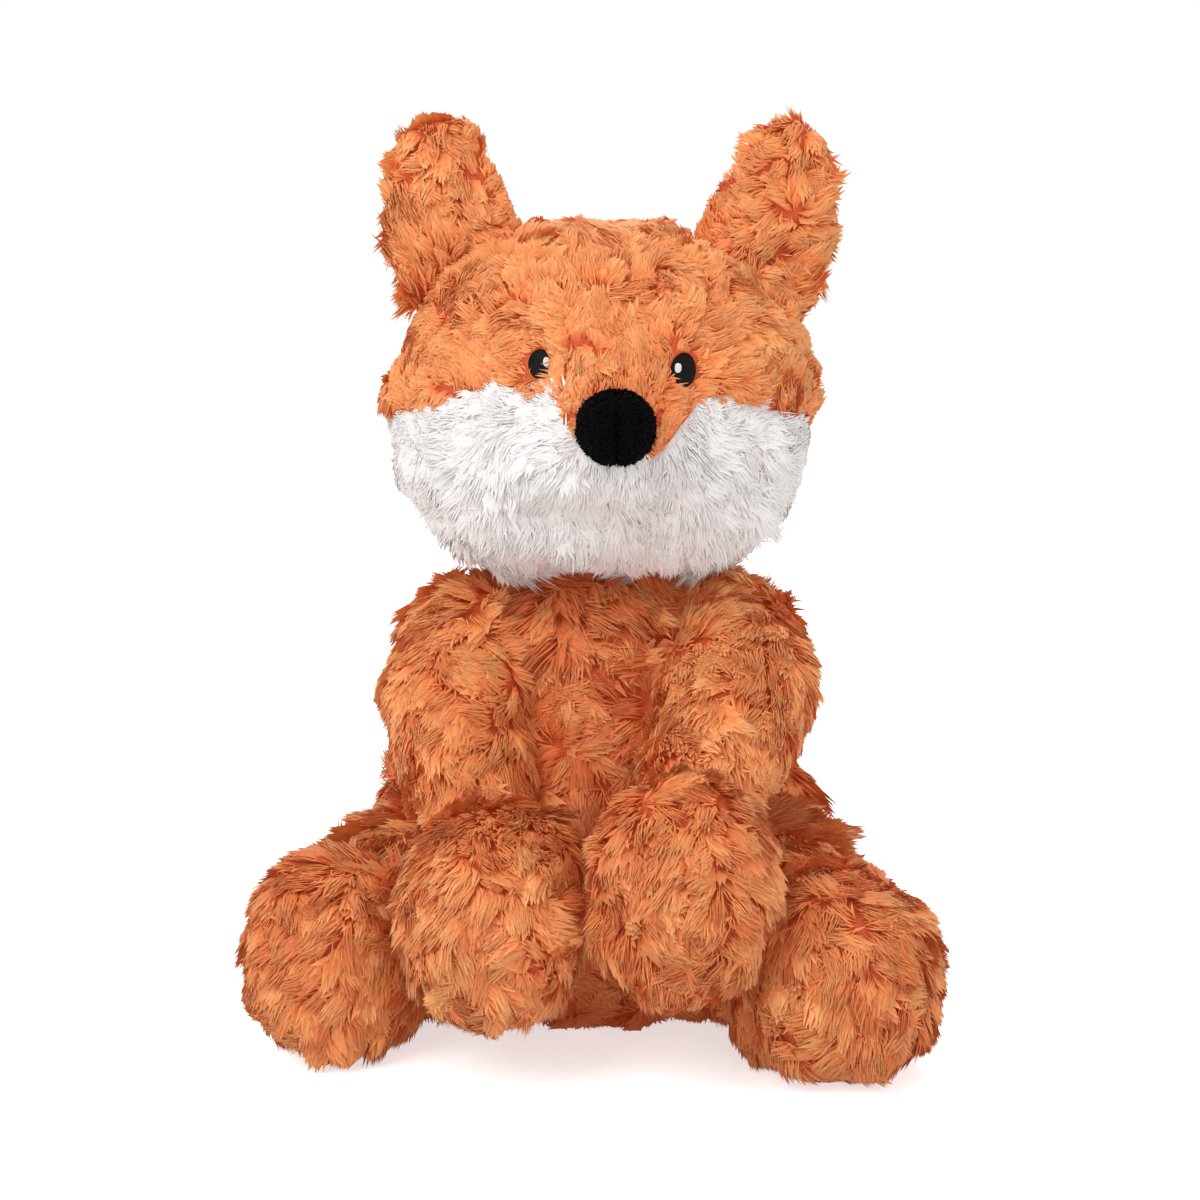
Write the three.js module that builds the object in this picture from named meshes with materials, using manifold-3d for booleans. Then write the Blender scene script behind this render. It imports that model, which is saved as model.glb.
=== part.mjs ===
// A seated, floppy plush fox: sewn plush skins over fibre filling and bean bags, an embroidered
// face, a padded nose, and a head, ears, arms, paws, legs, feet and tail that bend where they are sewn.
// Millimetres, +Z up. The toy faces -Y and sits on Z = 0, so its own left side is on +X.
import * as THREE from 'three';
import { mergeVertices } from 'three/addons/utils/BufferGeometryUtils.js';
import Module from 'manifold-3d';

const wasm = await Module();
wasm.setup();

// Cloth, thread and fit
const GAP = 0.3;
const SWING_GAP = 0.45;
const SOCKET_GAP = 0.8;
const PLUSH = 2.4;
const NOSE_CLOTH = 1.4;
const STITCH_RAISE = 1.3;
const GLINT_RAISE = 0.8;
const BACKING = 0.6;
const THREAD = 1.1;
const SEAT_CUT = 0.5;
const REACH = 400;

// Torso
const TORSO_WIDTH = 122;
const TORSO_DEPTH = 102;
const TORSO_HEIGHT = 163;
const BEAN_DEPTH = 34;
const BELLY_FORWARD = 5;
const SIDE_SEAM_BACK = 8;

// Neck, on which the head turns and nods
const NECK_RADIUS = 16;
const NECK_STEM_RADIUS = 12.5;
const NECK_BALL_RADIUS = 17;
const NECK_DEPTH = 14;
const NECK_RISE = 14;
const NECK_FORWARD = 4;

// Head
const HEAD_WIDTH = 142;
const HEAD_DEPTH = 116;
const HEAD_HEIGHT = 117;
const HEAD_CLEARANCE = 6.5;
const HEAD_FORWARD = 10;
const MUZZLE_REACH = 17;
const MUZZLE_HALF_WIDTH = 34;
const MUZZLE_HALF_HEIGHT = 30;
const MUZZLE_DROP = 9;
const CHEEK_BACK = 12;
const GUSSET_WIDTH = 30;

// Eyes and nose
const EYE_WIDTH = 9.6;
const EYE_HEIGHT = 12.4;
const EYE_SPREAD = 49;
const EYE_RISE = 17.5;
const GLINT_SIZE = 3.4;
const GLINT_INWARD = 1.4;
const GLINT_RISE = 1.2;
const EYE_BACKING_MARGIN = 3;
const NOSE_WIDTH = 27;
const NOSE_DEPTH = 22;
const NOSE_HEIGHT = 26;
const NOSE_RISE = 2;
const NOSE_STAND_OFF = 5.5;

// Ears
const EAR_WIDTH = 41;
const EAR_LENGTH = 59;
const EAR_THICKNESS = 13;
const EAR_ROOT_DEPTH = 16;
const EAR_LEAN = 11.5;
const EAR_SEAM_SLOPE = 47;

// Arms and paws
const ARM_RADIUS = 21.5;
const WRIST_RADIUS = 15;
const SHOULDER_DROP = 35;
const SHOULDER_FORWARD = 14;
const SHOULDER_SPREAD = 99;
const ARM_BOW_OUT = 5;
const ARM_BOW_UP = 9;
const PAW_WIDTH = 58;
const PAW_DEPTH = 59;
const PAW_HEIGHT = 71;
const WRIST_TO_PAW = 39;
const PAW_TILT = 24;

// Legs and feet
const HIP_RADIUS = 24.5;
const ANKLE_RADIUS = 17;
const HIP_SPREAD = 68;
const HIP_FORWARD = 14;
const HIP_HEIGHT = 27;
const ANKLE_HEIGHT = 33;
const HIP_TO_FOOT = 78;
const ANKLE_TO_FOOT = 39;
const FOOT_WIDTH = 63;
const FOOT_LENGTH = 67;
const FOOT_HEIGHT = 80;

// Tail, a bushy one that lies behind the toy
const TAIL_ROOT_HEIGHT = 26;
const TAIL_ROOT_BACK = 42;
const TAIL_ROOT_RADIUS = 11;
const TAIL_RADIUS = 22;
const TAIL_LENGTH = 104;
const TAIL_ASIDE = 18;
const TAIL_TIP_LENGTH = 34;

// How far each paw lies from its shoulder, and the degrees by which each leg is spread
const LEFT_PAW_INWARD = 21;
const LEFT_PAW_FORWARD = 90;
const LEFT_PAW_DROP = 55;
const LEFT_LEG_SPLAY = 35;
const RIGHT_PAW_INWARD = 13;
const RIGHT_PAW_FORWARD = 74;
const RIGHT_PAW_DROP = 70;
const RIGHT_LEG_SPLAY = 51;

// How far the seams that rub on a neighbour bend, in degrees
const NOD_RANGE = [-14, 14];
const EAR_RANGE = [-10, 50];
const SHOULDER_RANGE = [0, 42];
const WRIST_RANGE = [0, 30];
const HIP_RANGE = [0, 22];
const ANKLE_RANGE = [0, 24];
const TAIL_RANGE = [-30, 30];
const HEAD_YAW = 3;
const HEAD_ROLL = 3;
const SWEEP_STEP = 15;

// Shapes as shares of the sizes above: half width and rise of a profile from its lower pole up
const TORSO_PROFILE_SHARES = [
  [0, 0], [0.6, 0], [0.88, 0.07], [0.99, 0.2], [1, 0.35], [0.95, 0.5], [0.86, 0.65],
  [0.75, 0.79], [0.58, 0.91], [0.32, 0.98], [0, 1],
];
const EAR_PROFILE_SHARES = [
  [0, 0], [0.76, 0.03], [0.98, 0.16], [1, 0.36], [0.98, 0.56], [0.9, 0.75], [0.68, 0.92], [0, 1],
];
const TAIL_PROFILE_SHARES = [
  [0, 0], [1, 0.03], [1.32, 0.16], [1.86, 0.38], [2, 0.56], [1.78, 0.74], [1.1, 0.92], [0, 1],
];
const CHEEK_OUTLINE_SHARES = [
  [0.1, -0.1], [0.17, -0.07], [0.21, 0.02], [0.28, 0.24], [0.36, 0.13], [0.5, 0.23], [0.77, 0.07],
  [1.04, -0.15], [1.3, -0.19], [1.3, -1.4],
];
const HEAD_SQUARE_SHARE = 0.84;
const BALL_SQUARE_SHARE = 0.94;
const CHEEK_SWELL_SHARE = 0.045;
const EAR_PLACE_SHARES = [0.74, 0.13, 0.78];
const EAR_ROOT_SHARE = 0.55;
const ARM_SWELL_SHARE = 0.06;
const WRIST_BACK_SHARE = 0.7;
const LEFT_WRIST_IN_SHARE = 0.12;
const RIGHT_WRIST_IN_SHARE = 0.1;
const TAIL_REST_SHARE = 0.33;
const TURN = Math.PI * 2;
const DEGREE = Math.PI / 180;
const HALF = 0.5;
const CHEEK_LOW_TURN = 0.5;

// How finely each surface is divided: rows and sides, or a limb's end rows, middle rows and sides
const TORSO_COUNTS = [12, 18];
const TORSO_INNER_COUNTS = [9, 12];
const HEAD_COUNTS = [14, 20];
const HEAD_INNER_COUNTS = [10, 14];
const EAR_COUNTS = [10, 14];
const NOSE_COUNTS = [9, 14];
const NOSE_INNER_COUNTS = [7, 10];
const BALL_COUNTS = [9, 12];
const BALL_INNER_COUNTS = [6, 8];
const ARM_COUNTS = [3, 6, 12];
const LEG_COUNTS = [3, 4, 12];
const LIMB_INNER_COUNTS = [2, 4, 8];
const FLANK_COUNTS = [1, 4, 12];
const TAIL_COUNTS = [11, 12];
const TAIL_INNER_COUNTS = [8, 8];
const SOCKET_COUNTS = [10, 14];
const POCKET_COUNTS = [8, 12];
const OPENING_COUNTS = [6, 8];
const THREAD_COUNTS = [5, 16];
const NECK_SIDES = 12;
const NECK_BALL_ROWS = 5;
const OVAL_STEPS = 4;

// What differs between the two sides
const SIDES = [
  {
    name: 'left',
    sign: 1,
    pawInward: LEFT_PAW_INWARD,
    pawForward: LEFT_PAW_FORWARD,
    pawDrop: LEFT_PAW_DROP,
    legSplay: LEFT_LEG_SPLAY,
    inShare: LEFT_WRIST_IN_SHARE,
  },
  {
    name: 'right',
    sign: -1,
    pawInward: RIGHT_PAW_INWARD,
    pawForward: RIGHT_PAW_FORWARD,
    pawDrop: RIGHT_PAW_DROP,
    legSplay: RIGHT_LEG_SPLAY,
    inShare: RIGHT_WRIST_IN_SHARE,
  },
];

// Finishes
const FINISHES = {
  orange: { color: '#cd6a38', roughness: 0.95 },
  white: { color: '#f5f0ec', roughness: 0.95 },
  nose: { color: '#17171c', roughness: 0.9 },
  blackThread: { color: '#0d0d10', roughness: 0.5 },
  whiteThread: { color: '#ebe6e3', roughness: 0.5 },
  orangeThread: { color: '#b85c2e', roughness: 0.6 },
  filling: { color: '#f3f1ea', roughness: 1 },
  beanBag: { color: '#d9d3c6', roughness: 0.9 },
  backing: { color: '#e4e4e2', roughness: 0.9 },
};

// A number raised to a power that keeps its sign
function signedPower(value, power) {
  return Math.sign(value) * Math.abs(value) ** power;
}

// A closed surface of rings between two poles, with its faces outwards
function closedGrid([rows, sides], pointAt) {
  const positions = [...pointAt(0, 0)];
  for (let row = 1; row < rows; row += 1) {
    for (let side = 0; side < sides; side += 1) {
      positions.push(...pointAt(row / rows, (side / sides) * TURN));
    }
  }
  positions.push(...pointAt(1, 0));
  const faces = [];
  const last = positions.length / 3 - 1;
  for (let side = 0; side < sides; side += 1) {
    const next = (side + 1) % sides;
    faces.push(0, 1 + next, 1 + side);
    for (let row = 0; row < rows - 2; row += 1) {
      const low = 1 + row * sides;
      const high = low + sides;
      faces.push(low + side, low + next, high + next);
      faces.push(low + side, high + next, high + side);
    }
    const top = 1 + (rows - 2) * sides;
    faces.push(last, top + side, top + next);
  }
  const geometry = new THREE.BufferGeometry();
  geometry.setAttribute('position', new THREE.Float32BufferAttribute(positions, 3));
  geometry.setIndex(faces);
  return geometry;
}

// A closed solid from a geometry that is already in its place
function solidOf(geometry) {
  const bare = geometry.clone();
  bare.deleteAttribute('normal');
  bare.deleteAttribute('uv');
  const merged = mergeVertices(bare);
  return new wasm.Manifold(new wasm.Mesh({
    numProp: 3,
    vertProperties: new Float32Array(merged.attributes.position.array),
    triVerts: new Uint32Array(merged.index.array),
  }));
}

// A box between two corners, for flat cuts
function block(low, high) {
  const size = high.clone().sub(low);
  const centre = low.clone().add(high).multiplyScalar(HALF);
  return solidOf(new THREE.BoxGeometry(size.x, size.y, size.z).translate(centre.x, centre.y, centre.z));
}

// Everything under the surface that the toy sits on
const underSeat = block(new THREE.Vector3(-REACH, -REACH, -REACH), new THREE.Vector3(REACH, REACH, 0));

// The union of a geometry turned about an axis by each angle of a range, backwards, so that a piece
// that is cut by it clears the geometry all the way when the piece turns forwards
function sweepBack(geometry, pivot, axis, range) {
  const steps = Math.ceil((range[1] - range[0]) / SWEEP_STEP);
  let swept = null;
  for (let step = 0; step <= steps; step += 1) {
    const angle = range[0] + ((range[1] - range[0]) * step) / steps;
    const turned = geometry.clone().translate(-pivot.x, -pivot.y, -pivot.z);
    turned.applyMatrix4(new THREE.Matrix4().makeRotationAxis(axis, -angle * DEGREE));
    turned.translate(pivot.x, pivot.y, pivot.z);
    const solid = solidOf(turned);
    swept = swept ? swept.add(solid) : solid;
  }
  return swept;
}

// A rounded ball with its poles on Z, its three sizes grown by twice an allowance
function ballForm(width, depth, height, grow, square, counts) {
  return closedGrid(counts, (share, angle) => {
    const tilt = (share - HALF) * Math.PI;
    const ring = signedPower(Math.cos(tilt), square);
    return [
      (width * HALF + grow) * ring * signedPower(Math.cos(angle), square),
      (depth * HALF + grow) * ring * signedPower(Math.sin(angle), square),
      (height * HALF + grow) * signedPower(Math.sin(tilt), square),
    ];
  });
}

// A ball about a place, for the hollow that a round end sits in and for openings in a skin
function roundCut(place, radius, counts) {
  const form = ballForm(radius * 2, radius * 2, radius * 2, 0, 1, counts);
  return solidOf(form.translate(place.x, place.y, place.z));
}

// A stuffed tube with round ends along a curve, its radius given for each share of the way
function limbForm(curve, radiusAt, grow, [capRows, midRows, sides]) {
  const rows = capRows * 2 + midRows;
  return closedGrid([rows, sides], (share, angle) => {
    const row = share * rows;
    const startTurn = Math.min(row / capRows, 1) * Math.PI * HALF;
    const endTurn = Math.max((row - capRows - midRows) / capRows, 0) * Math.PI * HALF;
    const way = Math.min(Math.max((row - capRows) / midRows, 0), 1);
    const radius = radiusAt(way) + grow;
    const along = (Math.sin(endTurn) - Math.cos(startTurn)) * radius;
    const across = Math.sin(startTurn) * Math.cos(endTurn) * radius;
    const tangent = curve.getTangent(way);
    const side = new THREE.Vector3(0, 0, 1).cross(tangent).normalize();
    const up = tangent.clone().cross(side);
    const point = curve.getPoint(way);
    point.addScaledVector(tangent, along);
    point.addScaledVector(side, Math.cos(angle) * across);
    point.addScaledVector(up, Math.sin(angle) * across);
    return point.toArray();
  });
}

// A flat outline carried through the depth of the object, facing the front
function frontPrism(shape, front, back, curveSteps) {
  const geometry = new THREE.ExtrudeGeometry(shape, {
    depth: back - front,
    bevelEnabled: false,
    steps: 1,
    curveSegments: curveSteps,
  });
  return geometry.rotateX(Math.PI * HALF).translate(0, back, 0);
}

// Torso: a pear that is widest low down and narrows to the neck
const torsoProfile = new THREE.SplineCurve(TORSO_PROFILE_SHARES.map((pair) => new THREE.Vector2(...pair)));

function torsoForm(grow, counts = TORSO_COUNTS) {
  return closedGrid(counts, (share, angle) => {
    const pair = torsoProfile.getPoint(share);
    const swell = pair.x > 0 ? grow : 0;
    const lean = Math.sin(share * Math.PI) * BELLY_FORWARD;
    return [
      (pair.x * TORSO_WIDTH * HALF + swell) * Math.cos(angle),
      (pair.x * TORSO_DEPTH * HALF + swell) * Math.sin(angle) - lean,
      pair.y * (TORSO_HEIGHT + SEAT_CUT + 2 * grow) - SEAT_CUT - grow,
    ];
  });
}

// Neck: a spool of cloth and filling, its ball inside the head and its foot inside the torso
const turnPivot = new THREE.Vector3(0, -NECK_FORWARD, TORSO_HEIGHT - NECK_DEPTH);
const nodPivot = new THREE.Vector3(0, -NECK_FORWARD, TORSO_HEIGHT + NECK_RISE);

function neckForm(grow) {
  const foot = turnPivot.z - grow;
  const waist = TORSO_HEIGHT + grow;
  const ball = NECK_BALL_RADIUS + grow;
  const stem = NECK_STEM_RADIUS + grow;
  const meet = Math.asin(stem / ball);
  const points = [new THREE.Vector2(0, foot), new THREE.Vector2(NECK_RADIUS + grow, foot)];
  points.push(new THREE.Vector2(NECK_RADIUS + grow, waist));
  points.push(new THREE.Vector2(stem, waist));
  for (let row = 0; row < NECK_BALL_ROWS; row += 1) {
    const angle = (Math.PI - meet) * (1 - row / NECK_BALL_ROWS);
    points.push(new THREE.Vector2(Math.sin(angle) * ball, nodPivot.z + Math.cos(angle) * ball));
  }
  points.push(new THREE.Vector2(0, nodPivot.z + ball));
  const geometry = new THREE.LatheGeometry(points, NECK_SIDES);
  return geometry.rotateX(Math.PI * HALF).translate(0, -NECK_FORWARD, 0);
}

// Head: a wide rounded cushion with full cheeks and a muzzle that stands out in front
const headTurn = new THREE.Quaternion().setFromEuler(
  new THREE.Euler(0, HEAD_ROLL * DEGREE, HEAD_YAW * DEGREE),
);
const headFrame = new THREE.Matrix4().compose(
  new THREE.Vector3(0, -HEAD_FORWARD, TORSO_HEIGHT + HEAD_CLEARANCE + HEAD_HEIGHT * HALF),
  headTurn,
  new THREE.Vector3(1, 1, 1),
);

function muzzleReach(x, z) {
  const across = x / MUZZLE_HALF_WIDTH;
  const up = (z + MUZZLE_DROP) / MUZZLE_HALF_HEIGHT;
  return MUZZLE_REACH * Math.exp(-across * across - up * up);
}

function headForm(grow, counts = HEAD_COUNTS) {
  return closedGrid(counts, (share, angle) => {
    const tilt = (share - HALF) * Math.PI;
    const ring = signedPower(Math.cos(tilt), HEAD_SQUARE_SHARE);
    const swell = 1 + CHEEK_SWELL_SHARE * Math.cos(tilt * 2 + CHEEK_LOW_TURN);
    const x = (HEAD_WIDTH * HALF + grow) * ring * swell * signedPower(Math.cos(angle), HEAD_SQUARE_SHARE);
    const y = (HEAD_DEPTH * HALF + grow) * ring * signedPower(Math.sin(angle), HEAD_SQUARE_SHARE);
    const z = (HEAD_HEIGHT * HALF + grow) * signedPower(Math.sin(tilt), HEAD_SQUARE_SHARE);
    const front = Math.max(-Math.sin(angle), 0) * Math.cos(tilt);
    return [x, y - muzzleReach(x, z) * front, z];
  });
}

function inHead(geometry) {
  return geometry.applyMatrix4(headFrame);
}

function headSolid(grow, counts) {
  return solidOf(inHead(headForm(grow, counts)));
}

// The white cheeks' outline from the front, widened and raised by an allowance
function cheekPrism(widen, raise, back) {
  const half = CHEEK_OUTLINE_SHARES.map(([across, up]) => new THREE.Vector2(
    across * HEAD_WIDTH * HALF + widen,
    up * HEAD_HEIGHT * HALF + raise,
  ));
  const mirrored = half.map((place) => new THREE.Vector2(-place.x, place.y)).reverse();
  return solidOf(inHead(frontPrism(new THREE.Shape([...half, ...mirrored]), -REACH, back, 1)));
}

// The part of the head beyond a distance to one side of its middle
function sideBlock(sign, distance) {
  const geometry = new THREE.BoxGeometry(REACH, REACH, REACH);
  return solidOf(inHead(geometry.translate(sign * (distance + REACH * HALF), 0, 0)));
}

// An upright oval post through the face, where the embroidery lies
function eyePrism(sign, width, height, inward, rise) {
  const shape = new THREE.Shape();
  const across = sign * (EYE_SPREAD * HALF - inward);
  shape.absellipse(across, EYE_RISE + rise, width * HALF, height * HALF, 0, TURN);
  return solidOf(inHead(frontPrism(shape, -REACH, 0, OVAL_STEPS)));
}

const fox = new THREE.Group();

// A body's own group, with its origin at the seam on which it swings
function swingGroup(parent, pivot, turn = new THREE.Quaternion()) {
  const group = new THREE.Group();
  parent.updateWorldMatrix(true, false);
  const frame = new THREE.Matrix4().compose(pivot, turn, new THREE.Vector3(1, 1, 1));
  frame.premultiply(parent.matrixWorld.clone().invert());
  frame.decompose(group.position, group.quaternion, group.scale);
  parent.add(group);
  group.updateWorldMatrix(true, false);
  return group;
}

// A named piece made of a solid that is already in its place, hung in its body's group
function addPiece(group, name, solid, finish) {
  const mesh = solid.getMesh();
  const geometry = new THREE.BufferGeometry();
  geometry.setAttribute('position', new THREE.Float32BufferAttribute(mesh.vertProperties, 3));
  geometry.setIndex(Array.from(mesh.triVerts));
  geometry.applyMatrix4(group.matrixWorld.clone().invert());
  const flat = geometry.toNonIndexed();
  flat.computeVertexNormals();
  const piece = new THREE.Mesh(flat, new THREE.MeshStandardMaterial({ ...finish, metalness: 0 }));
  piece.name = name;
  group.add(piece);
}

// The torso's skin in a front and a back panel, its filling and the bean bag that it sits on
function buildTorso() {
  const neckHole = solidOf(neckForm(SOCKET_GAP));
  const hollow = solidOf(torsoForm(-PLUSH, TORSO_INNER_COUNTS));
  const skin = solidOf(torsoForm(0)).subtract(hollow).subtract(neckHole).subtract(underSeat);
  const low = new THREE.Vector3(-REACH, -REACH, -REACH);
  const high = new THREE.Vector3(REACH, REACH, REACH);
  const behind = block(new THREE.Vector3(-REACH, SIDE_SEAM_BACK + GAP * HALF, -REACH), high);
  const before = block(low, new THREE.Vector3(REACH, SIDE_SEAM_BACK - GAP * HALF, REACH));
  const inside = solidOf(torsoForm(-PLUSH - GAP, TORSO_INNER_COUNTS)).subtract(neckHole);
  const beans = block(low, new THREE.Vector3(REACH, REACH, BEAN_DEPTH));
  const fibre = block(new THREE.Vector3(-REACH, -REACH, BEAN_DEPTH + GAP), high);
  addPiece(fox, 'torso_front', skin.intersect(before), FINISHES.orange);
  addPiece(fox, 'torso_back', skin.intersect(behind), FINISHES.orange);
  addPiece(fox, 'torso_filling', inside.intersect(fibre), FINISHES.filling);
  addPiece(fox, 'seat_bean_bag', inside.intersect(beans), FINISHES.beanBag);
}

// The hollow under the head that takes the neck's ball and leaves room for its stem to lean
function neckPocket() {
  const ball = NECK_BALL_RADIUS + SOCKET_GAP;
  const drop = nodPivot.z - TORSO_HEIGHT;
  const mouth = NECK_STEM_RADIUS + SOCKET_GAP + drop * Math.tan(NOD_RANGE[1] * DEGREE);
  const cone = new THREE.CylinderGeometry(NECK_STEM_RADIUS, mouth, drop, NECK_SIDES);
  cone.rotateX(Math.PI * HALF);
  cone.translate(0, -NECK_FORWARD, nodPivot.z - drop * HALF);
  return roundCut(nodPivot, ball, POCKET_COUNTS).add(solidOf(cone));
}

// The hand-sewn thread that closes the seam round the neck
function buildNeck(group) {
  addPiece(group, 'neck_core', solidOf(neckForm(0)), FINISHES.orange);
  const middle = NECK_STEM_RADIUS + GAP + THREAD * HALF;
  const ring = new THREE.TorusGeometry(middle, THREAD * HALF, ...THREAD_COUNTS);
  ring.translate(0, -NECK_FORWARD, TORSO_HEIGHT + GAP + THREAD * HALF);
  addPiece(group, 'neck_thread', solidOf(ring), FINISHES.orangeThread);
}

// The head's five plush panels over one filling, with the face worked on them
function buildHead(group) {
  const pocket = neckPocket();
  const skin = headSolid(0).subtract(headSolid(-PLUSH, HEAD_INNER_COUNTS)).subtract(pocket);
  const white = skin.intersect(cheekPrism(0, 0, CHEEK_BACK));
  let orange = skin;
  for (const widen of [-GAP, 0, GAP]) {
    orange = orange.subtract(cheekPrism(widen, GAP, CHEEK_BACK + GAP));
  }
  for (const side of SIDES) {
    const half = sideBlock(side.sign, GAP * HALF);
    const beyond = sideBlock(side.sign, (GUSSET_WIDTH + GAP) * HALF);
    addPiece(group, `cheek_${side.name}`, white.intersect(half), FINISHES.white);
    addPiece(group, `head_side_${side.name}`, orange.intersect(beyond), FINISHES.orange);
  }
  const leftOut = sideBlock(1, (GUSSET_WIDTH - GAP) * HALF).add(sideBlock(-1, (GUSSET_WIDTH - GAP) * HALF));
  addPiece(group, 'crown_gusset', orange.subtract(leftOut), FINISHES.orange);
  const inside = headSolid(-PLUSH - GAP * 2 - BACKING, HEAD_INNER_COUNTS).subtract(pocket);
  addPiece(group, 'head_filling', inside, FINISHES.filling);
}

// Each eye: a satin-stitched oval, the stitched glint on it and the backing behind the cloth
function buildEyes(group) {
  const raised = STITCH_RAISE + GAP;
  const oval = headSolid(raised).subtract(headSolid(GAP));
  const glint = headSolid(raised + GAP + GLINT_RAISE).subtract(headSolid(raised + GAP));
  const within = (depth) => headSolid(-PLUSH - GAP - depth, HEAD_INNER_COUNTS);
  const under = within(0).subtract(within(BACKING));
  const wide = EYE_WIDTH + EYE_BACKING_MARGIN;
  const tall = EYE_HEIGHT + EYE_BACKING_MARGIN;
  for (const side of SIDES) {
    const post = eyePrism(side.sign, EYE_WIDTH, EYE_HEIGHT, 0, 0);
    const fleck = eyePrism(side.sign, GLINT_SIZE, GLINT_SIZE, GLINT_INWARD, GLINT_RISE);
    const patch = eyePrism(side.sign, wide, tall, 0, 0);
    addPiece(group, `eye_${side.name}`, oval.intersect(post), FINISHES.blackThread);
    addPiece(group, `eye_glint_${side.name}`, glint.intersect(fleck), FINISHES.whiteThread);
    addPiece(group, `eye_backing_${side.name}`, under.intersect(patch), FINISHES.backing);
  }
}

// The nose: a padded ball of short-nap cloth sewn to the tip of the muzzle
function buildNose(group) {
  const stand = HEAD_DEPTH * HALF + muzzleReach(0, NOSE_RISE) + NOSE_STAND_OFF;
  const ball = (grow, counts) => solidOf(inHead(
    ballForm(NOSE_WIDTH, NOSE_DEPTH, NOSE_HEIGHT, grow, 1, counts).translate(0, -stand, NOSE_RISE),
  ));
  const face = headSolid(GAP);
  const cover = ball(0, NOSE_COUNTS).subtract(ball(-NOSE_CLOTH, NOSE_INNER_COUNTS)).subtract(face);
  const padding = ball(-NOSE_CLOTH - GAP * 2, NOSE_INNER_COUNTS).subtract(face);
  addPiece(group, 'nose_cover', cover, FINISHES.nose);
  addPiece(group, 'nose_filling', padding, FINISHES.filling);
}

// An ear's leaf, standing on its own origin, its width along X and its thickness along Y
const earProfile = new THREE.SplineCurve(EAR_PROFILE_SHARES.map((pair) => new THREE.Vector2(...pair)));

function earForm() {
  return closedGrid(EAR_COUNTS, (share, angle) => {
    const pair = earProfile.getPoint(share);
    const thin = 1 - (1 - EAR_ROOT_SHARE) * pair.y;
    return [
      Math.max(pair.x, 0) * EAR_WIDTH * HALF * Math.cos(angle),
      Math.max(pair.x, 0) * EAR_THICKNESS * HALF * thin * Math.sin(angle),
      pair.y * (EAR_LENGTH + EAR_ROOT_DEPTH) - EAR_ROOT_DEPTH,
    ];
  });
}

// Each ear: a front and a back panel sewn into the side of the crown, folding on that seam
function buildEar(headGroup, side) {
  const place = new THREE.Vector3(
    side.sign * EAR_PLACE_SHARES[0] * HEAD_WIDTH * HALF,
    EAR_PLACE_SHARES[1] * HEAD_DEPTH * HALF,
    EAR_PLACE_SHARES[2] * HEAD_HEIGHT * HALF,
  );
  const lean = new THREE.Matrix4().makeRotationY(side.sign * EAR_LEAN * DEGREE).setPosition(place);
  const slope = side.sign * EAR_SEAM_SLOPE * DEGREE;
  const hinge = new THREE.Quaternion().setFromAxisAngle(new THREE.Vector3(0, 1, 0), slope);
  const hingeTurn = headTurn.clone().multiply(hinge);
  const pivot = place.clone().applyMatrix4(headFrame);
  const axis = new THREE.Vector3(1, 0, 0).applyQuaternion(hingeTurn);
  const group = swingGroup(headGroup, pivot, hingeTurn);
  const headSweep = sweepBack(inHead(headForm(SWING_GAP)), pivot, axis, EAR_RANGE);
  const leaf = solidOf(inHead(earForm().applyMatrix4(lean))).subtract(headSweep);
  const half = (sign) => {
    const cut = new THREE.BoxGeometry(REACH, REACH, REACH).translate(0, sign * (REACH + GAP) * HALF, 0);
    return solidOf(inHead(cut.applyMatrix4(lean)));
  };
  addPiece(group, `ear_${side.name}_front`, leaf.intersect(half(-1)), FINISHES.orange);
  addPiece(group, `ear_${side.name}_back`, leaf.intersect(half(1)), FINISHES.orange);
}

// The places along one arm: shoulder, wrist and the middle of the paw
function armPlaces(side) {
  const aside = side.sign * SHOULDER_SPREAD * HALF;
  const shoulder = new THREE.Vector3(aside, -SHOULDER_FORWARD, TORSO_HEIGHT - SHOULDER_DROP);
  const paw = shoulder.clone();
  paw.x -= side.sign * side.pawInward;
  paw.y -= side.pawForward;
  paw.z -= side.pawDrop;
  const back = new THREE.Vector3(side.sign * side.inShare, WRIST_BACK_SHARE, WRIST_BACK_SHARE).normalize();
  const wrist = paw.clone().addScaledVector(back, WRIST_TO_PAW);
  return { shoulder, wrist, paw };
}

function armForm(side, grow, counts = ARM_COUNTS) {
  const { shoulder, wrist } = armPlaces(side);
  const bow = shoulder.clone().add(wrist).multiplyScalar(HALF);
  bow.x += side.sign * ARM_BOW_OUT;
  bow.z += ARM_BOW_UP;
  const curve = new THREE.QuadraticBezierCurve3(shoulder, bow, wrist);
  const radiusAt = (way) => {
    const taper = ARM_RADIUS + (WRIST_RADIUS - ARM_RADIUS) * way * way;
    return taper * (1 + ARM_SWELL_SHARE * Math.sin(way * Math.PI));
  };
  return limbForm(curve, radiusAt, grow, counts);
}

function pawForm(side, grow, counts = BALL_COUNTS) {
  const { paw } = armPlaces(side);
  const form = ballForm(PAW_WIDTH, PAW_DEPTH, PAW_HEIGHT, grow, BALL_SQUARE_SHARE, counts);
  return form.rotateX(-PAW_TILT * DEGREE).translate(paw.x, paw.y, paw.z);
}

// The places along one leg: hip, ankle and the middle of the foot
function legPlaces(side) {
  const out = side.sign * Math.sin(side.legSplay * DEGREE);
  const ahead = -Math.cos(side.legSplay * DEGREE);
  const hip = new THREE.Vector3(side.sign * HIP_SPREAD * HALF, -HIP_FORWARD, HIP_HEIGHT);
  const along = (distance, height) => new THREE.Vector3(
    hip.x + out * distance,
    hip.y + ahead * distance,
    height,
  );
  const ankle = along(HIP_TO_FOOT - ANKLE_TO_FOOT, ANKLE_HEIGHT);
  const foot = along(HIP_TO_FOOT, FOOT_HEIGHT * HALF - SEAT_CUT);
  return { hip, ankle, foot };
}

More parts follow.
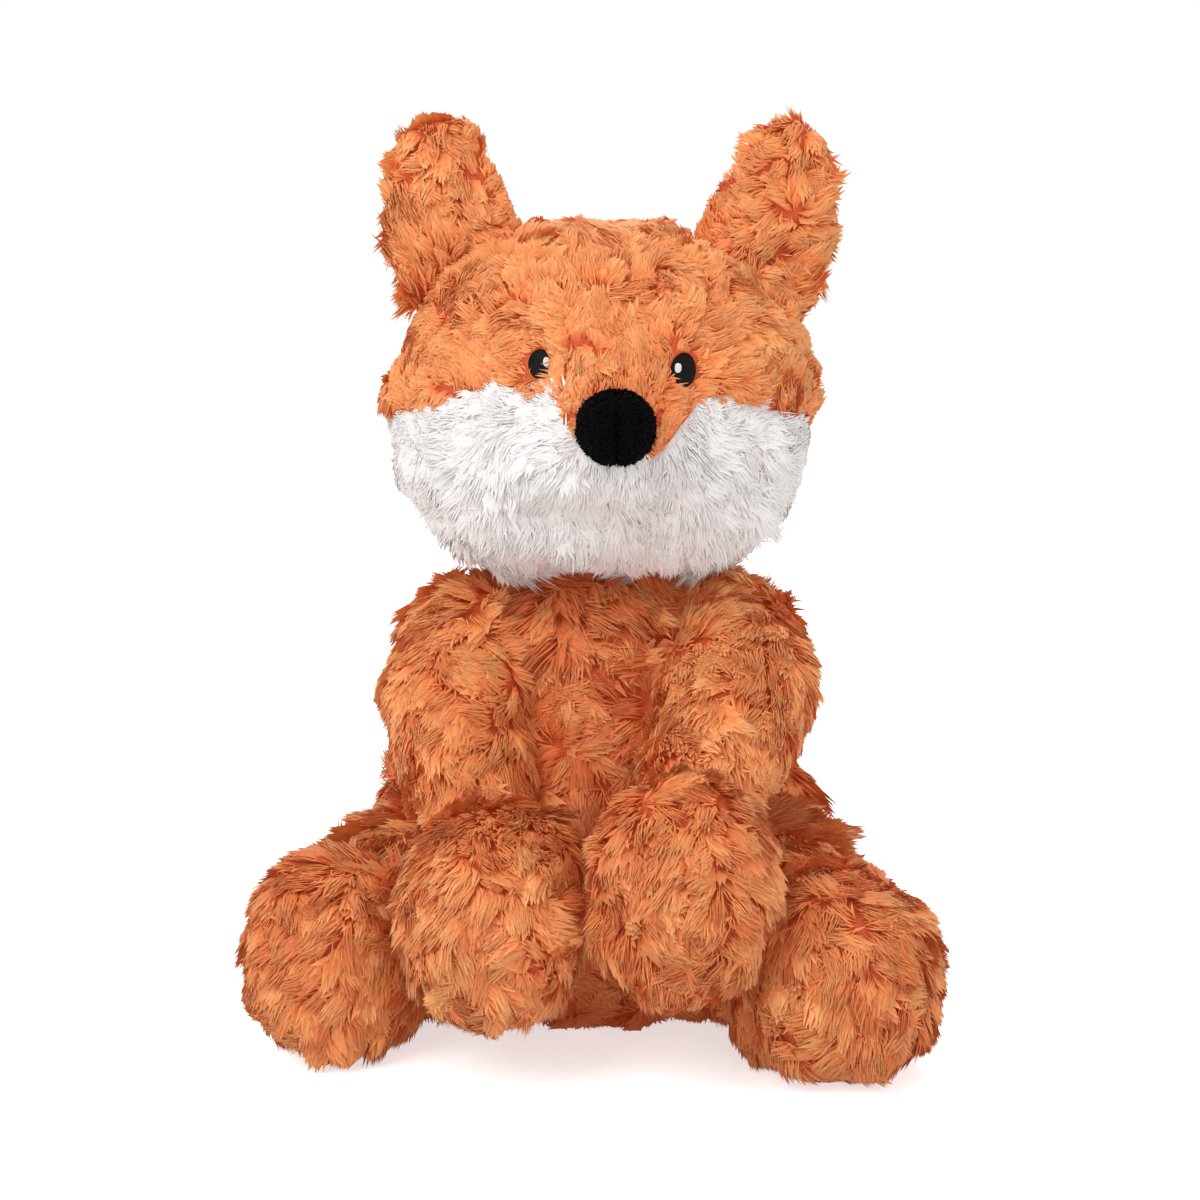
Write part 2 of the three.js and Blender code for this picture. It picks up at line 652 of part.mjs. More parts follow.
function legForm(side, grow, counts = LEG_COUNTS) {
  const { hip, ankle } = legPlaces(side);
  const curve = new THREE.LineCurve3(hip, ankle);
  const radiusAt = (way) => HIP_RADIUS + (ANKLE_RADIUS - HIP_RADIUS) * way;
  return limbForm(curve, radiusAt, grow, counts);
}

function footForm(side, grow, counts = BALL_COUNTS) {
  const { foot } = legPlaces(side);
  const form = ballForm(FOOT_WIDTH, FOOT_LENGTH, FOOT_HEIGHT, grow, BALL_SQUARE_SHARE, counts);
  return form.rotateZ(side.sign * side.legSplay * DEGREE).translate(foot.x, foot.y, foot.z);
}

// A hollow skin and what fills it, both cut by the same neighbours, its inner faces coarser
function skinAndCore(form, innerCounts, cutters) {
  let skin = solidOf(form(0)).subtract(solidOf(form(-PLUSH, innerCounts)));
  let core = solidOf(form(-PLUSH - GAP, innerCounts));
  for (const cutter of cutters) {
    skin = skin.subtract(cutter);
    core = core.subtract(cutter);
  }
  return { skin, core };
}

// What a paw or foot is cut by: the round end of its limb, and the limb's flank as it bends
function bendCut(flank, pivot, radius, axis, range) {
  return roundCut(pivot, radius + SOCKET_GAP, SOCKET_COUNTS).add(sweepBack(flank, pivot, axis, range));
}

function buildArm(side) {
  const { shoulder, wrist } = armPlaces(side);
  const raise = new THREE.Vector3(-1, 0, 0);
  const arm = swingGroup(fox, shoulder);
  const hand = swingGroup(arm, wrist);
  const torsoSweep = sweepBack(torsoForm(SWING_GAP), shoulder, raise, SHOULDER_RANGE);
  const sleeve = (grow, counts) => armForm(side, grow, counts);
  const { skin, core } = skinAndCore(sleeve, LIMB_INNER_COUNTS, [torsoSweep]);
  const flank = armForm(side, SWING_GAP, FLANK_COUNTS);
  const bent = bendCut(flank, wrist, WRIST_RADIUS, raise, WRIST_RANGE);
  const mitten = (grow, counts) => pawForm(side, grow, counts);
  const glove = skinAndCore(mitten, BALL_INNER_COUNTS, [bent]);
  const ahead = wrist.clone().sub(shoulder).normalize().multiplyScalar(WRIST_RADIUS);
  const opening = roundCut(wrist.clone().add(ahead), WRIST_RADIUS * HALF, OPENING_COUNTS);
  addPiece(arm, `arm_${side.name}_skin`, skin.subtract(opening), FINISHES.orange);
  addPiece(arm, `arm_${side.name}_filling`, core, FINISHES.filling);
  addPiece(hand, `paw_${side.name}_skin`, glove.skin, FINISHES.orange);
  addPiece(hand, `paw_${side.name}_filling`, glove.core, FINISHES.filling);
}

function buildLeg(side) {
  const { hip, ankle } = legPlaces(side);
  const splay = new THREE.Vector3(0, 0, side.sign);
  const leg = swingGroup(fox, hip);
  const end = swingGroup(leg, ankle);
  const pawCut = solidOf(pawForm(side, GAP));
  const torsoSweep = sweepBack(torsoForm(SWING_GAP), hip, splay, HIP_RANGE);
  const trouser = (grow, counts) => legForm(side, grow, counts);
  const { skin, core } = skinAndCore(trouser, LIMB_INNER_COUNTS, [torsoSweep, underSeat]);
  const flank = legForm(side, SWING_GAP, FLANK_COUNTS);
  const bent = bendCut(flank, ankle, ANKLE_RADIUS, splay, ANKLE_RANGE);
  const shoe = (grow, counts) => footForm(side, grow, counts);
  const boot = skinAndCore(shoe, BALL_INNER_COUNTS, [bent, pawCut, underSeat]);
  const ahead = ankle.clone().sub(hip).normalize().multiplyScalar(ANKLE_RADIUS);
  const opening = roundCut(ankle.clone().add(ahead), ANKLE_RADIUS * HALF, OPENING_COUNTS);
  addPiece(leg, `leg_${side.name}_skin`, skin.subtract(opening), FINISHES.orange);
  addPiece(leg, `leg_${side.name}_filling`, core, FINISHES.filling);
  addPiece(end, `foot_${side.name}_skin`, boot.skin, FINISHES.orange);
  addPiece(end, `foot_${side.name}_bean_bag`, boot.core, FINISHES.beanBag);
}

// The tail's round section along its way, resting on the surface behind the toy
const tailProfile = new THREE.SplineCurve(TAIL_PROFILE_SHARES.map((pair) => new THREE.Vector2(...pair)));

function tailForm(grow, counts = TAIL_COUNTS) {
  return closedGrid(counts, (share, angle) => {
    const pair = tailProfile.getPoint(share);
    const thick = Math.max(pair.x, 0) * TAIL_RADIUS * HALF;
    const radius = thick > 0 ? thick + grow : 0;
    const way = pair.y;
    const fall = Math.max(thick, TAIL_ROOT_RADIUS) - SEAT_CUT;
    const rest = Math.min(way / TAIL_REST_SHARE, 1);
    return [
      TAIL_ASIDE * way * way + Math.cos(angle) * radius,
      TAIL_ROOT_BACK + way * (TAIL_LENGTH + grow * 2) - grow,
      TAIL_ROOT_HEIGHT * (1 - rest) + fall * rest - Math.sin(angle) * radius,
    ];
  });
}

function buildTail() {
  const pivot = new THREE.Vector3(0, TAIL_ROOT_BACK, TAIL_ROOT_HEIGHT);
  const group = swingGroup(fox, pivot);
  const torsoSweep = sweepBack(torsoForm(SWING_GAP), pivot, new THREE.Vector3(0, 0, 1), TAIL_RANGE);
  const { skin, core } = skinAndCore(tailForm, TAIL_INNER_COUNTS, [torsoSweep, underSeat]);
  const seam = TAIL_ROOT_BACK + TAIL_LENGTH - TAIL_TIP_LENGTH;
  const low = new THREE.Vector3(-REACH, -REACH, -REACH);
  const high = new THREE.Vector3(REACH, REACH, REACH);
  const near = block(low, new THREE.Vector3(REACH, seam - GAP * HALF, REACH));
  const far = block(new THREE.Vector3(-REACH, seam + GAP * HALF, -REACH), high);
  addPiece(group, 'tail_skin', skin.intersect(near), FINISHES.orange);
  addPiece(group, 'tail_tip', skin.intersect(far), FINISHES.white);
  addPiece(group, 'tail_filling', core, FINISHES.filling);
}

buildTorso();
const neck = swingGroup(fox, turnPivot);
buildNeck(neck);
const head = swingGroup(neck, nodPivot, headTurn);
buildHead(head);
buildEyes(head);
buildNose(head);
for (const side of SIDES) {
  buildEar(head, side);
  buildArm(side);
  buildLeg(side);
}
buildTail();

export default fox;
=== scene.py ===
"""A seated, floppy plush fox in long fur, dressed piece by piece over its fixed frame.

Each stuffed piece is a padded skin, worked out from the formula of its form, with thousands of short
curved locks of pile rooted on it. The locks lean together into tufts. The eyes are satin stitch, the
nose is short-nap cloth, and the fillings, bean bags and threads inside have pieces of their own.
Metres, +Z up. The toy faces -Y, so its own left side is on +X.
"""

import logging
import math
from collections.abc import Callable
from dataclasses import dataclass
from enum import Enum

import bmesh
import bpy
import numpy as np
from numpy.typing import NDArray
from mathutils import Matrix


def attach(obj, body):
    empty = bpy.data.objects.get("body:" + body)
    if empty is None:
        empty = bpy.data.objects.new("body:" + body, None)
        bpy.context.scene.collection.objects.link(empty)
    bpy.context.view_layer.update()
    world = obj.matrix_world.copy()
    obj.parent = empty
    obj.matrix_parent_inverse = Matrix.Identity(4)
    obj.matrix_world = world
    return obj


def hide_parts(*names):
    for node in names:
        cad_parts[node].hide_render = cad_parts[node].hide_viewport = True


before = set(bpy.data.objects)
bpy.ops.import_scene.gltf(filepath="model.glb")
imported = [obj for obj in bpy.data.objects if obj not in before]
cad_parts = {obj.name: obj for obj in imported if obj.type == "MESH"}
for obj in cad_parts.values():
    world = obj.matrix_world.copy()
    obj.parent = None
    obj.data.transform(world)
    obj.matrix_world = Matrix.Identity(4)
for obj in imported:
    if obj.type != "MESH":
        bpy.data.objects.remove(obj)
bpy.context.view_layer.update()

Floats = NDArray[np.float64]
Ints = NDArray[np.int64]
Bools = NDArray[np.bool_]
Triple = tuple[float, float, float]
Knots = tuple[tuple[float, float], ...]
Socket = bpy.types.NodeSocket
Flow = Callable[[Floats, Floats], Floats]
GrownForm = Callable[[Floats, Floats, float], Floats]

MM = 0.001
TURN = 2 * math.pi
MAP_NAME = "OFBake"
log = logging.getLogger("plush_fox")


class Side(Enum):
    """The toy's own two sides, with the sign of X that each lies on."""

    LEFT = 1
    RIGHT = -1

    @property
    def word(self) -> str:
        """The side's name in the names of pieces."""
        return self.name.lower()


class Slot(Enum):
    """The record's material slots."""

    ORANGE = "plush_orange"
    WHITE = "plush_white"
    NOSE = "nose_cloth"
    BLACK_THREAD = "black_thread"
    WHITE_THREAD = "white_thread"
    ORANGE_THREAD = "orange_thread"
    FILLING = "filling"
    BEANS = "bean_bag"
    BACKING = "backing"


def unit(vectors: Floats) -> Floats:
    """Vectors over their own lengths, along the last axis. A zero vector stays zero."""
    return vectors / np.maximum(np.linalg.norm(vectors, axis=-1, keepdims=True), 1e-12)


def columns(*values: Floats | float) -> Floats:
    """Whole arrays or single numbers side by side along a new last axis."""
    return np.stack(np.broadcast_arrays(*values), axis=-1)


def signed_power(values: Floats, power: float) -> Floats:
    """Sizes raised to a power, with their signs kept."""
    return np.sign(values) * np.abs(values) ** power


def squared_ball(halves: Floats, square: float, share: Floats, angle: Floats) -> Floats:
    """Points of a ball whose sines and cosines are raised to a power a little under one.

    Args:
        halves: Its half sizes along X, Y and Z.
        square: The power: 1 gives an oval, less a squarer form.
        share: From the lower pole, 0, to the upper, 1.
        angle: Round the ring, from +X towards +Y.

    Returns:
        The points, in the ball's own axes.
    """
    tilt = (share - 0.5) * math.pi
    ring = signed_power(np.cos(tilt), square)
    return columns(
        halves[0] * ring * signed_power(np.cos(angle), square),
        halves[1] * ring * signed_power(np.sin(angle), square),
        halves[2] * signed_power(np.sin(tilt), square),
    )


@dataclass(frozen=True)
class Bell:
    """A bump over one measure: 1 at its middle, and exp(-1) half a width away on either side."""

    middle: float
    half_width: float

    def at(self, values: Floats) -> Floats:
        """The bump's height: exp(-((value - middle) / half width)^2)."""
        return np.exp(-(((values - self.middle) / self.half_width) ** 2))


@dataclass(frozen=True)
class Ramp:
    """A rise from 0 to 1 over one measure, from a start and over a length, level before and after."""

    start: float
    length: float

    def at(self, values: Floats) -> Floats:
        """The ramp's height: (value - start) / length, kept from 0 to 1."""
        return np.clip((values - self.start) / self.length, 0, 1)


def turned_about(axis: str, degrees: float) -> Floats:
    """The 3 by 3 matrix that turns by an angle about X, Y or Z, by the right-hand rule.

    Args:
        axis: "X", "Y" or "Z".
        degrees: The angle.

    Returns:
        The matrix, for column vectors.
    """
    sine, cosine = math.sin(math.radians(degrees)), math.cos(math.radians(degrees))
    first, second = {"X": (1, 2), "Y": (2, 0), "Z": (0, 1)}[axis]
    matrix = np.eye(3)
    matrix[first, first] = matrix[second, second] = cosine
    matrix[second, first] = sine
    matrix[first, second] = -sine
    return matrix


@dataclass(frozen=True)
class Place:
    """A turn followed by a shift, from a piece's own axes to the toy's."""

    turn: Floats
    shift: Floats

    def out(self, points: Floats) -> Floats:
        """Points in the toy's axes, from points in the piece's own."""
        return points @ self.turn.T + self.shift

    def back(self, points: Floats) -> Floats:
        """Points in the piece's own axes, from points in the toy's."""
        return (points - self.shift) @ self.turn

    def turn_out(self, vectors: Floats) -> Floats:
        """Directions in the toy's axes, from directions in the piece's own."""
        return vectors @ self.turn.T


@dataclass(frozen=True)
class Spline:
    """A Catmull-Rom curve through pairs of shares, with its ends repeated."""

    knots: Knots

    def at(self, share: Floats) -> tuple[Floats, Floats]:
        """The curve's two values where each stretch between knots takes an equal share.

        Between p1 and p2 it is the cubic that leaves p1 along (p2 - p0) / 2 and meets p2 along
        (p3 - p1) / 2.

        Args:
            share: Places from 0, the first knot, to 1, the last.

        Returns:
            The first and the second value at each place.
        """
        table = np.array(self.knots)
        last = len(table) - 1
        place = np.clip(share, 0, 1) * last
        start = np.minimum(place.astype(int), last - 1)
        step = (place - start)[..., None]
        before, here = table[np.maximum(start - 1, 0)], table[start]
        there, after = table[start + 1], table[np.minimum(start + 2, last)]
        leave, meet = (there - before) / 2, (after - here) / 2
        value = (2 * here - 2 * there + leave + meet) * step**3
        value = value + (3 * there - 3 * here - 2 * leave - meet) * step**2 + leave * step + here
        return value[..., 0], value[..., 1]


@dataclass(frozen=True)
class Drift:
    """A smooth random field: a sum of sine waves of about one length in many directions."""

    length: float
    seed: int
    waves: int = 12

    def value(self, points: Floats, offset: int = 0) -> Floats:
        """The field, with a mean of 0 and a spread of 1: the sum of sin(wave . point + phase).

        Args:
            points: Places, (n, 3).
            offset: Added to the seed, for a second field of the same kind.

        Returns:
            One number for each place.
        """
        rng = np.random.default_rng(self.seed + offset)
        lengths = self.length * rng.uniform(0.7, 1.5, self.waves)
        waves = unit(rng.normal(size=(self.waves, 3))) * (TURN / lengths)[:, None]
        phases = rng.uniform(0, TURN, self.waves)
        return np.sin(points @ waves.T + phases).sum(axis=1) * math.sqrt(2 / self.waves)

    def vector(self, points: Floats) -> Floats:
        """Three fields side by side, as a direction at each place."""
        return np.stack([self.value(points, offset) for offset in (1, 2, 3)], axis=1)


@dataclass(frozen=True)
class Surface:
    """Triangles, with a place on the bake map for each of their corners."""

    points: Floats
    faces: Ints
    corners: Floats

    def crosses(self) -> Floats:
        """Each face's outward normal, twice the face's area long."""
        first, second, third = (self.points[self.faces[:, k]] for k in range(3))
        return np.cross(second - first, third - first)

    def normals(self) -> Floats:
        """Each point's outward normal: the sum of its faces' normals, of length one."""
        crosses = self.crosses()
        sums = np.zeros_like(self.points)
        for corner in range(3):
            for axis in range(3):
                sums[:, axis] += np.bincount(
                    self.faces[:, corner], crosses[:, axis], minlength=len(self.points)
                )
        return unit(sums)

    def middles(self) -> Floats:
        """The middle of each face."""
        return self.points[self.faces].mean(axis=1)

    def moved(self, points: Floats) -> "Surface":
        """The same faces with other points."""
        return Surface(points, self.faces, self.corners)


def closed_grid(rows: int, sides: int, form: Callable[[Floats, Floats], Floats]) -> Surface:
    """A closed surface of rings between two poles.

    Args:
        rows: Bands from pole to pole.
        sides: Points round each ring.
        form: Gives points from a share of the way between the poles and an angle round.

    Returns:
        The surface, its faces outwards where the rings run by the right-hand rule along the way.
    """
    share, angle = np.meshgrid(np.arange(1, rows) / rows, np.arange(sides) / sides * TURN, indexing="ij")
    ends = form(np.array([0.0, 1.0]), np.zeros(2))
    points = np.concatenate([ends[:1], form(share.ravel(), angle.ravel()), ends[1:]])
    row, side = (grid.ravel() for grid in np.meshgrid(np.arange(rows - 2), np.arange(sides), indexing="ij"))
    low, low_next = 1 + row * sides + side, 1 + row * sides + (side + 1) % sides
    ring, following = np.arange(sides), (np.arange(sides) + 1) % sides
    last, top = len(points) - 1, 1 + (rows - 2) * sides
    faces = np.concatenate([
        columns(low, low_next, low_next + sides),
        columns(low, low_next + sides, low + sides),
        columns(0, 1 + following, 1 + ring),
        columns(last, top + ring, top + following),
    ])
    across = np.concatenate([
        columns(side, side + 1, side + 1),
        columns(side, side + 1, side),
        columns(ring + 0.5, ring + 1, ring),
        columns(ring + 0.5, ring, ring + 1),
    ]) / sides
    up = np.concatenate([
        columns(row + 1, row + 1, row + 2),
        columns(row + 1, row + 2, row + 2),
        columns(0 * ring, 1, 1),
        columns(rows + 0 * ring, rows - 1, rows - 1),
    ]) / rows
    return Surface(points, faces, columns(across, up))


def cloth_shell(surface: Surface, keep: Bools, thickness: float) -> Surface:
    """The kept faces as a cloth of some thickness, closed all round its edges.

    The inner faces lie the thickness under the outer ones, along each point's normal. A rim of two
    faces joins each edge that only one kept face has. On the bake map the outer faces have the
    lowest fifth, the inner ones the next tenth and the rim a strip.

    Args:
        surface: The whole form.
        keep: Which faces belong to this panel.
        thickness: Of the cloth.

    Returns:
        The closed cloth.
    """
    used, compact = np.unique(surface.faces[keep], return_inverse=True)
    faces = compact.reshape(-1, 3)
    count = len(used)
    outer = surface.points[used]
    inner = outer - surface.normals()[used] * thickness
    edges = np.concatenate([faces[:, [0, 1]], faces[:, [1, 2]], faces[:, [2, 0]]])
    there, back = edges[:, 0] * count + edges[:, 1], edges[:, 1] * count + edges[:, 0]
    border = edges[~np.isin(back, there)]
    rim = np.concatenate([
        columns(border[:, 1], border[:, 0], border[:, 0] + count),
        columns(border[:, 1], border[:, 0] + count, border[:, 1] + count),
    ])
    kept = surface.corners[keep]
    outside = kept * [1, 0.2]
    inside = kept[:, ::-1] * [1, 0.1] + [0, 0.205]
    spot = np.linspace(0, 1, len(rim), endpoint=False)[:, None] * [1, 0] + [0, 0.31]
    corner = np.array([[0, 0], [0.8 / max(len(rim), 1), 0], [0, 0.01]])
    return Surface(
        np.concatenate([outer, inner]),
        np.concatenate([faces, faces[:, ::-1] + count, rim]),
        np.concatenate([outside, inside, spot[:, None] + corner]),
    )


@dataclass(frozen=True)
class Roots:
    """Where locks of pile are rooted, and the skin's normal at each."""

    points: Floats
    normals: Floats

    def chosen(self, which: Bools) -> "Roots":
        """Only some of the roots."""
        return Roots(self.points[which], self.normals[which])


def scatter_roots(surface: Surface, keep: Bools, spacing: float, rng: np.random.Generator) -> Roots:
    """Roots spread evenly over the kept faces.

    The faces' areas are laid end to end, and one root falls at random in each equal stretch.

    Args:
        surface: The whole form.
        keep: Which faces belong to this panel.
        spacing: The side of the square of skin that each root has to itself.
        rng: The source of random draws.

    Returns:
        The roots.
    """
    faces = surface.faces[keep]
    areas = np.linalg.norm(surface.crosses()[keep], axis=1) / 2
    ends = np.cumsum(areas)
    count = max(int(ends[-1] / spacing**2), 1)
    targets = (np.arange(count) + rng.random(count)) * ends[-1] / count
    chosen = faces[np.minimum(np.searchsorted(ends, targets), len(faces) - 1)]
    reach, turn = np.sqrt(rng.random((count, 1))), rng.random((count, 1))
    weights = np.stack([1 - reach, reach * (1 - turn), reach * turn], axis=1)
    points = (surface.points[chosen] * weights).sum(axis=1)
    normals = unit((surface.normals()[chosen] * weights).sum(axis=1))
    return Roots(points, normals)


def nearest_of(points: Floats, centres: Floats) -> Ints:
    """The index of the centre nearest to each point, worked out in blocks to save memory."""
    squares = (centres**2).sum(axis=1)
    found = [
        np.argmin(squares - 2 * block @ centres.T, axis=1)
        for block in np.array_split(points, max(len(points) // 4000, 1))
    ]
    return np.concatenate(found)


@dataclass(frozen=True)
class Locks:
    """Locks of pile as one mesh, with the values that their finish reads."""

    surface: Surface
    reach: Floats
    strand: Floats
    tuft: Floats
    normals: Floats


@dataclass(frozen=True)
class Pile:
    """How the pile of a piece grows: the size of its locks and the way they lean together.

    Each draw is the least and the most of a random share. The spreads are of random directions.
    """

    spacing: float = 0.8 * MM
    tuft_spacing: float = 4.6 * MM
    length: float = 9.0 * MM
    lift: float = 3.5 * MM
    width: float = 0.55 * MM
    pull: float = 0.52
    undercoat: float = 0.45
    swirl: float = 0.9
    swirl_length: float = 26 * MM
    wave: float = 1.3 * MM
    uneven: float = 0.22
    arch: float = 0.16
    soft: float = 0.9
    rounding: float = 0.45
    least_height: float = 0.3 * MM
    # Lowers each tuft's value, which darkens the pile of body pieces that light from above leaves less lit
    # than the head: painted shade.
    deep: float = 0.0
    heading_spread: float = 0.25
    lock_spread: float = 0.13
    loose_spread: float = 0.4
    loose_size: float = 0.75
    loose_pull: float = 0.1
    length_draw: tuple[float, float] = (0.65, 1.2)
    lift_draw: tuple[float, float] = (0.75, 1.12)
    pull_draw: tuple[float, float] = (0.6, 1.2)
    width_draw: tuple[float, float] = (0.7, 1.3)
    length_limits: tuple[float, float] = (0.45, 1.6)
    height_limits: tuple[float, float] = (0.5, 1.7)
    most_pull: float = 0.95
    tip_spread: float = 0.8 * MM
    tuft_reach: float = 0.9
    root_clearance: float = 0.15 * MM
    blade_rise: float = 0.1 * MM
    edge_turn: float = 0.4

    def grow(self, roots: Roots, flow: Flow, seed: int, trim: Floats | None = None) -> Locks:
        """Arched locks that are pointed at root and tip.

        Some roots are the middles of tufts. A tuft has one heading along the skin, from the flow and a
        drifting swirl, one length, one lift and one curl aside. A lock's tip lies between its own, a
        length along the heading and a lift out, and its tuft's. Its middle stands out from halfway by
        a share of the lift, and aside by the curl. A share of them is short and joins no tuft.

        Args:
            roots: Where the locks start.
            flow: The direction in which the pile lies.
            seed: Of the random draws.
            trim: Each root's share of the full size, or None for all at full size.

        Returns:
            The locks.
        """
        rng = np.random.default_rng(seed)
        points, normals = roots.points, roots.normals
        count = len(points)
        size = np.ones(count) if trim is None else trim
        tufts = max(int(count * (self.spacing / self.tuft_spacing) ** 2), 1)
        heads = rng.choice(count, tufts, replace=False)
        tuft = nearest_of(points, points[heads])
        middle, middle_normal = points[heads], normals[heads]
        swirl = Drift(self.swirl_length, seed).vector(middle) * self.swirl
        heading = flow(middle, middle_normal) + swirl + rng.normal(size=(tufts, 3)) * self.heading_spread
        heading = unit(heading - (heading * middle_normal).sum(axis=1, keepdims=True) * middle_normal)
        rough = np.clip(1 + self.uneven * rng.normal(size=tufts), *self.length_limits)
        tall = np.clip(1 + self.uneven * rng.normal(size=tufts), *self.height_limits)
        curl = rng.normal(size=tufts) * self.wave
        loose = rng.random(count) < self.undercoat
        spread = np.where(loose, self.loose_spread, self.lock_spread)[:, None]
        own = heading[tuft] + rng.normal(size=(count, 3)) * spread
        own = unit(own - (own * normals).sum(axis=1, keepdims=True) * normals)
        short = np.where(loose, self.loose_size, 1.0)
        long = (self.length * rough[tuft] * size * short * rng.uniform(*self.length_draw, count))[:, None]
        high = self.lift * tall[tuft] * size**1.5 * short
        high = (high * rng.uniform(*self.lift_draw, count))[:, None]
        grown = size[heads]
        shared = middle + heading * (self.length * rough * grown)[:, None] * self.tuft_reach
        shared = shared + middle_normal * (self.lift * tall * grown**1.5)[:, None]
        shared = shared[tuft] + rng.normal(size=(count, 3)) * self.tip_spread
        tip = points + own * long + normals * high
        pull = (np.where(loose, self.loose_pull, self.pull) * rng.uniform(*self.pull_draw, count))[:, None]
        tip = tip + (shared - tip) * np.clip(pull, 0, self.most_pull)
        aside = unit(np.cross(normals, own))
        half = (points + tip) / 2 + normals * (high * self.arch + self.root_clearance)
        half = half + aside * (curl[tuft] * size)[:, None]
        path = np.stack([points, half, tip], axis=1)
        path[..., 2] = np.maximum(path[..., 2], self.least_height)
        across = unit(np.cross(middle_normal, heading))[tuft]
        off = ((points - middle[tuft]) * across).sum(axis=1, keepdims=True) / (self.tuft_spacing / 2)
        lean = normals * self.soft + across * np.clip(off, -1, 1) * self.rounding
        return self._blades(path, normals, lean, size, tuft, rng)

    def _blades(
        self, path: Floats, normals: Floats, lean: Floats, size: Floats, tuft: Ints, rng: np.random.Generator
    ) -> Locks:
        """Closed blades of four faces.

        Args:
            path: Each lock's root, middle and tip, (locks, 3, 3).
            normals: The skin's normal at each root.
            lean: Added to the upper faces' shading normals, so that a tuft shades as one form.
            size: Each lock's share of the full width.
            tuft: Each lock's tuft.
            rng: The source of random draws.

        Returns:
            The locks.
        """
        count = len(path)
        along = unit(np.gradient(path, axis=1))
        side = unit(np.cross(normals[:, None] + along * 0.01, along))
        over = np.cross(along, side)
        width = self.width / 2 * np.sqrt(size) * rng.uniform(*self.width_draw, count)
        reach = side[:, 1] * width[:, None]
        raised = path[:, 1] + over[:, 1] * self.blade_rise
        points = np.stack([path[:, 0], raised - reach, raised + reach, path[:, 2]], axis=1)
        faces, corners = lock_pattern()
        placed = points[:, faces]
        crosses = np.cross(placed[:, :, 1] - placed[:, :, 0], placed[:, :, 2] - placed[:, :, 0])
        upper = ((crosses * normals[:, None]).sum(axis=2) > 0)[..., None, None]
        station, aside = np.array([0, 1, 1, 2])[faces], np.array([0, -1, 1, 0])[faces][..., None]
        facing = side[:, station] * aside * self.edge_turn
        facing = facing + np.where(upper, over[:, station], -over[:, station])
        facing = unit(facing + np.where(upper, lean[:, None, None], 0))
        all_faces = (faces[None] + np.arange(count)[:, None, None] * 4).reshape(-1, 3)
        across_map = max(int(math.sqrt(count * 1.6)), 1)
        up_map = -(-count // across_map)
        cell = np.array([1 / across_map, 0.67 / up_map])
        index = np.arange(count)
        start = columns(index % across_map, index // across_map) * cell + [0, 0.33]
        all_corners = (corners[None] * cell * 0.9 + start[:, None, None]).reshape(-1, 3, 2)
        strand, chance = rng.random(count), rng.random(tuft.max() + 1)
        return Locks(
            Surface(points.reshape(-1, 3), all_faces, all_corners),
            np.tile(np.array([0, 0.5, 0.5, 1]), count),
            np.repeat(strand, 4),
            # Each tuft's random tone, lowered by the painted shade of body pieces.
            np.repeat(chance[tuft] - self.deep, 4),
            facing.reshape(-1, 3),
        )


def lock_pattern() -> tuple[Ints, Floats]:
    """The faces of one lock and their corners in its own cell of the bake map, from 0 to 1.

    Its points are the root, the left and right of its middle, and the tip. The two upper faces meet
    across its middle, the two under faces along its length.
    """
    faces = np.array([(0, 1, 2), (2, 1, 3), (0, 3, 1), (0, 2, 3)])
    corners = np.array([
        ((0.25, 0), (0, 0.48), (0.48, 0.48)), ((0.48, 0.5), (0, 0.5), (0.25, 1)),
        ((0.5, 0), (0.72, 1), (0.5, 0.9)), ((0.75, 0.1), (1, 0), (1, 1)),
    ], dtype=float)
    return faces, corners


def linked(name: str, data: bpy.types.ID) -> bpy.types.Object:
    """A new object of some data, in the scene, at the origin."""
    made = bpy.data.objects.new(name, data)
    bpy.context.scene.collection.objects.link(made)
    return made


def make_piece(
    name: str, surface: Surface, material: bpy.types.Material, values: dict[str, Floats] | None = None,
    normals: Floats | None = None, locks_from: int = 0,
) -> bpy.types.Object:
    """A smooth-shaded mesh object at the origin, with its bake map.

    Args:
        name: The piece's name.
        surface: Its faces.
        material: Its finish.
        values: Named numbers, one for each point.
        normals: Shading normals for the face corners, or None for the faces' own.
        locks_from: The first lock's first point, where there are such normals.

    Returns:
        The new object, in the scene.
    """
    count = len(surface.faces)
    mesh = bpy.data.meshes.new(name)
    mesh.vertices.add(len(surface.points))
    mesh.vertices.foreach_set("co", surface.points.astype(np.float32).ravel())
    mesh.loops.add(count * 3)
    mesh.loops.foreach_set("vertex_index", surface.faces.astype(np.int32).ravel())
    mesh.polygons.add(count)
    mesh.polygons.foreach_set("loop_start", np.arange(0, count * 3, 3, dtype=np.int32))
    mesh.update(calc_edges=True)
    layer = mesh.uv_layers.new(name=MAP_NAME)
    layer.uv.foreach_set("vector", surface.corners.astype(np.float32).ravel())
    for label, numbers in (values or {}).items():
        attribute = mesh.attributes.new(label, "FLOAT", "POINT")
        attribute.data.foreach_set("value", numbers.astype(np.float32))
    mesh.materials.append(material)
    mesh.shade_smooth()
    if normals is not None:
        soft = mesh.attributes.new("custom_normal", "FLOAT_VECTOR", "CORNER")
        soft.data.foreach_set("vector", normals.astype(np.float32).ravel())
        ends = np.empty(len(mesh.edges) * 2, dtype=np.int32)
        mesh.edges.foreach_get("vertices", ends)
        ends = ends.reshape(-1, 2)
        place = (ends - locks_from) % 4
        rims = (ends.min(axis=1) >= locks_from) & ((place == 0) | (place == 3)).any(axis=1)
        sharp = mesh.attributes.new("sharp_edge", "BOOLEAN", "EDGE")
        sharp.data.foreach_set("value", rims)
    return linked(name, mesh)


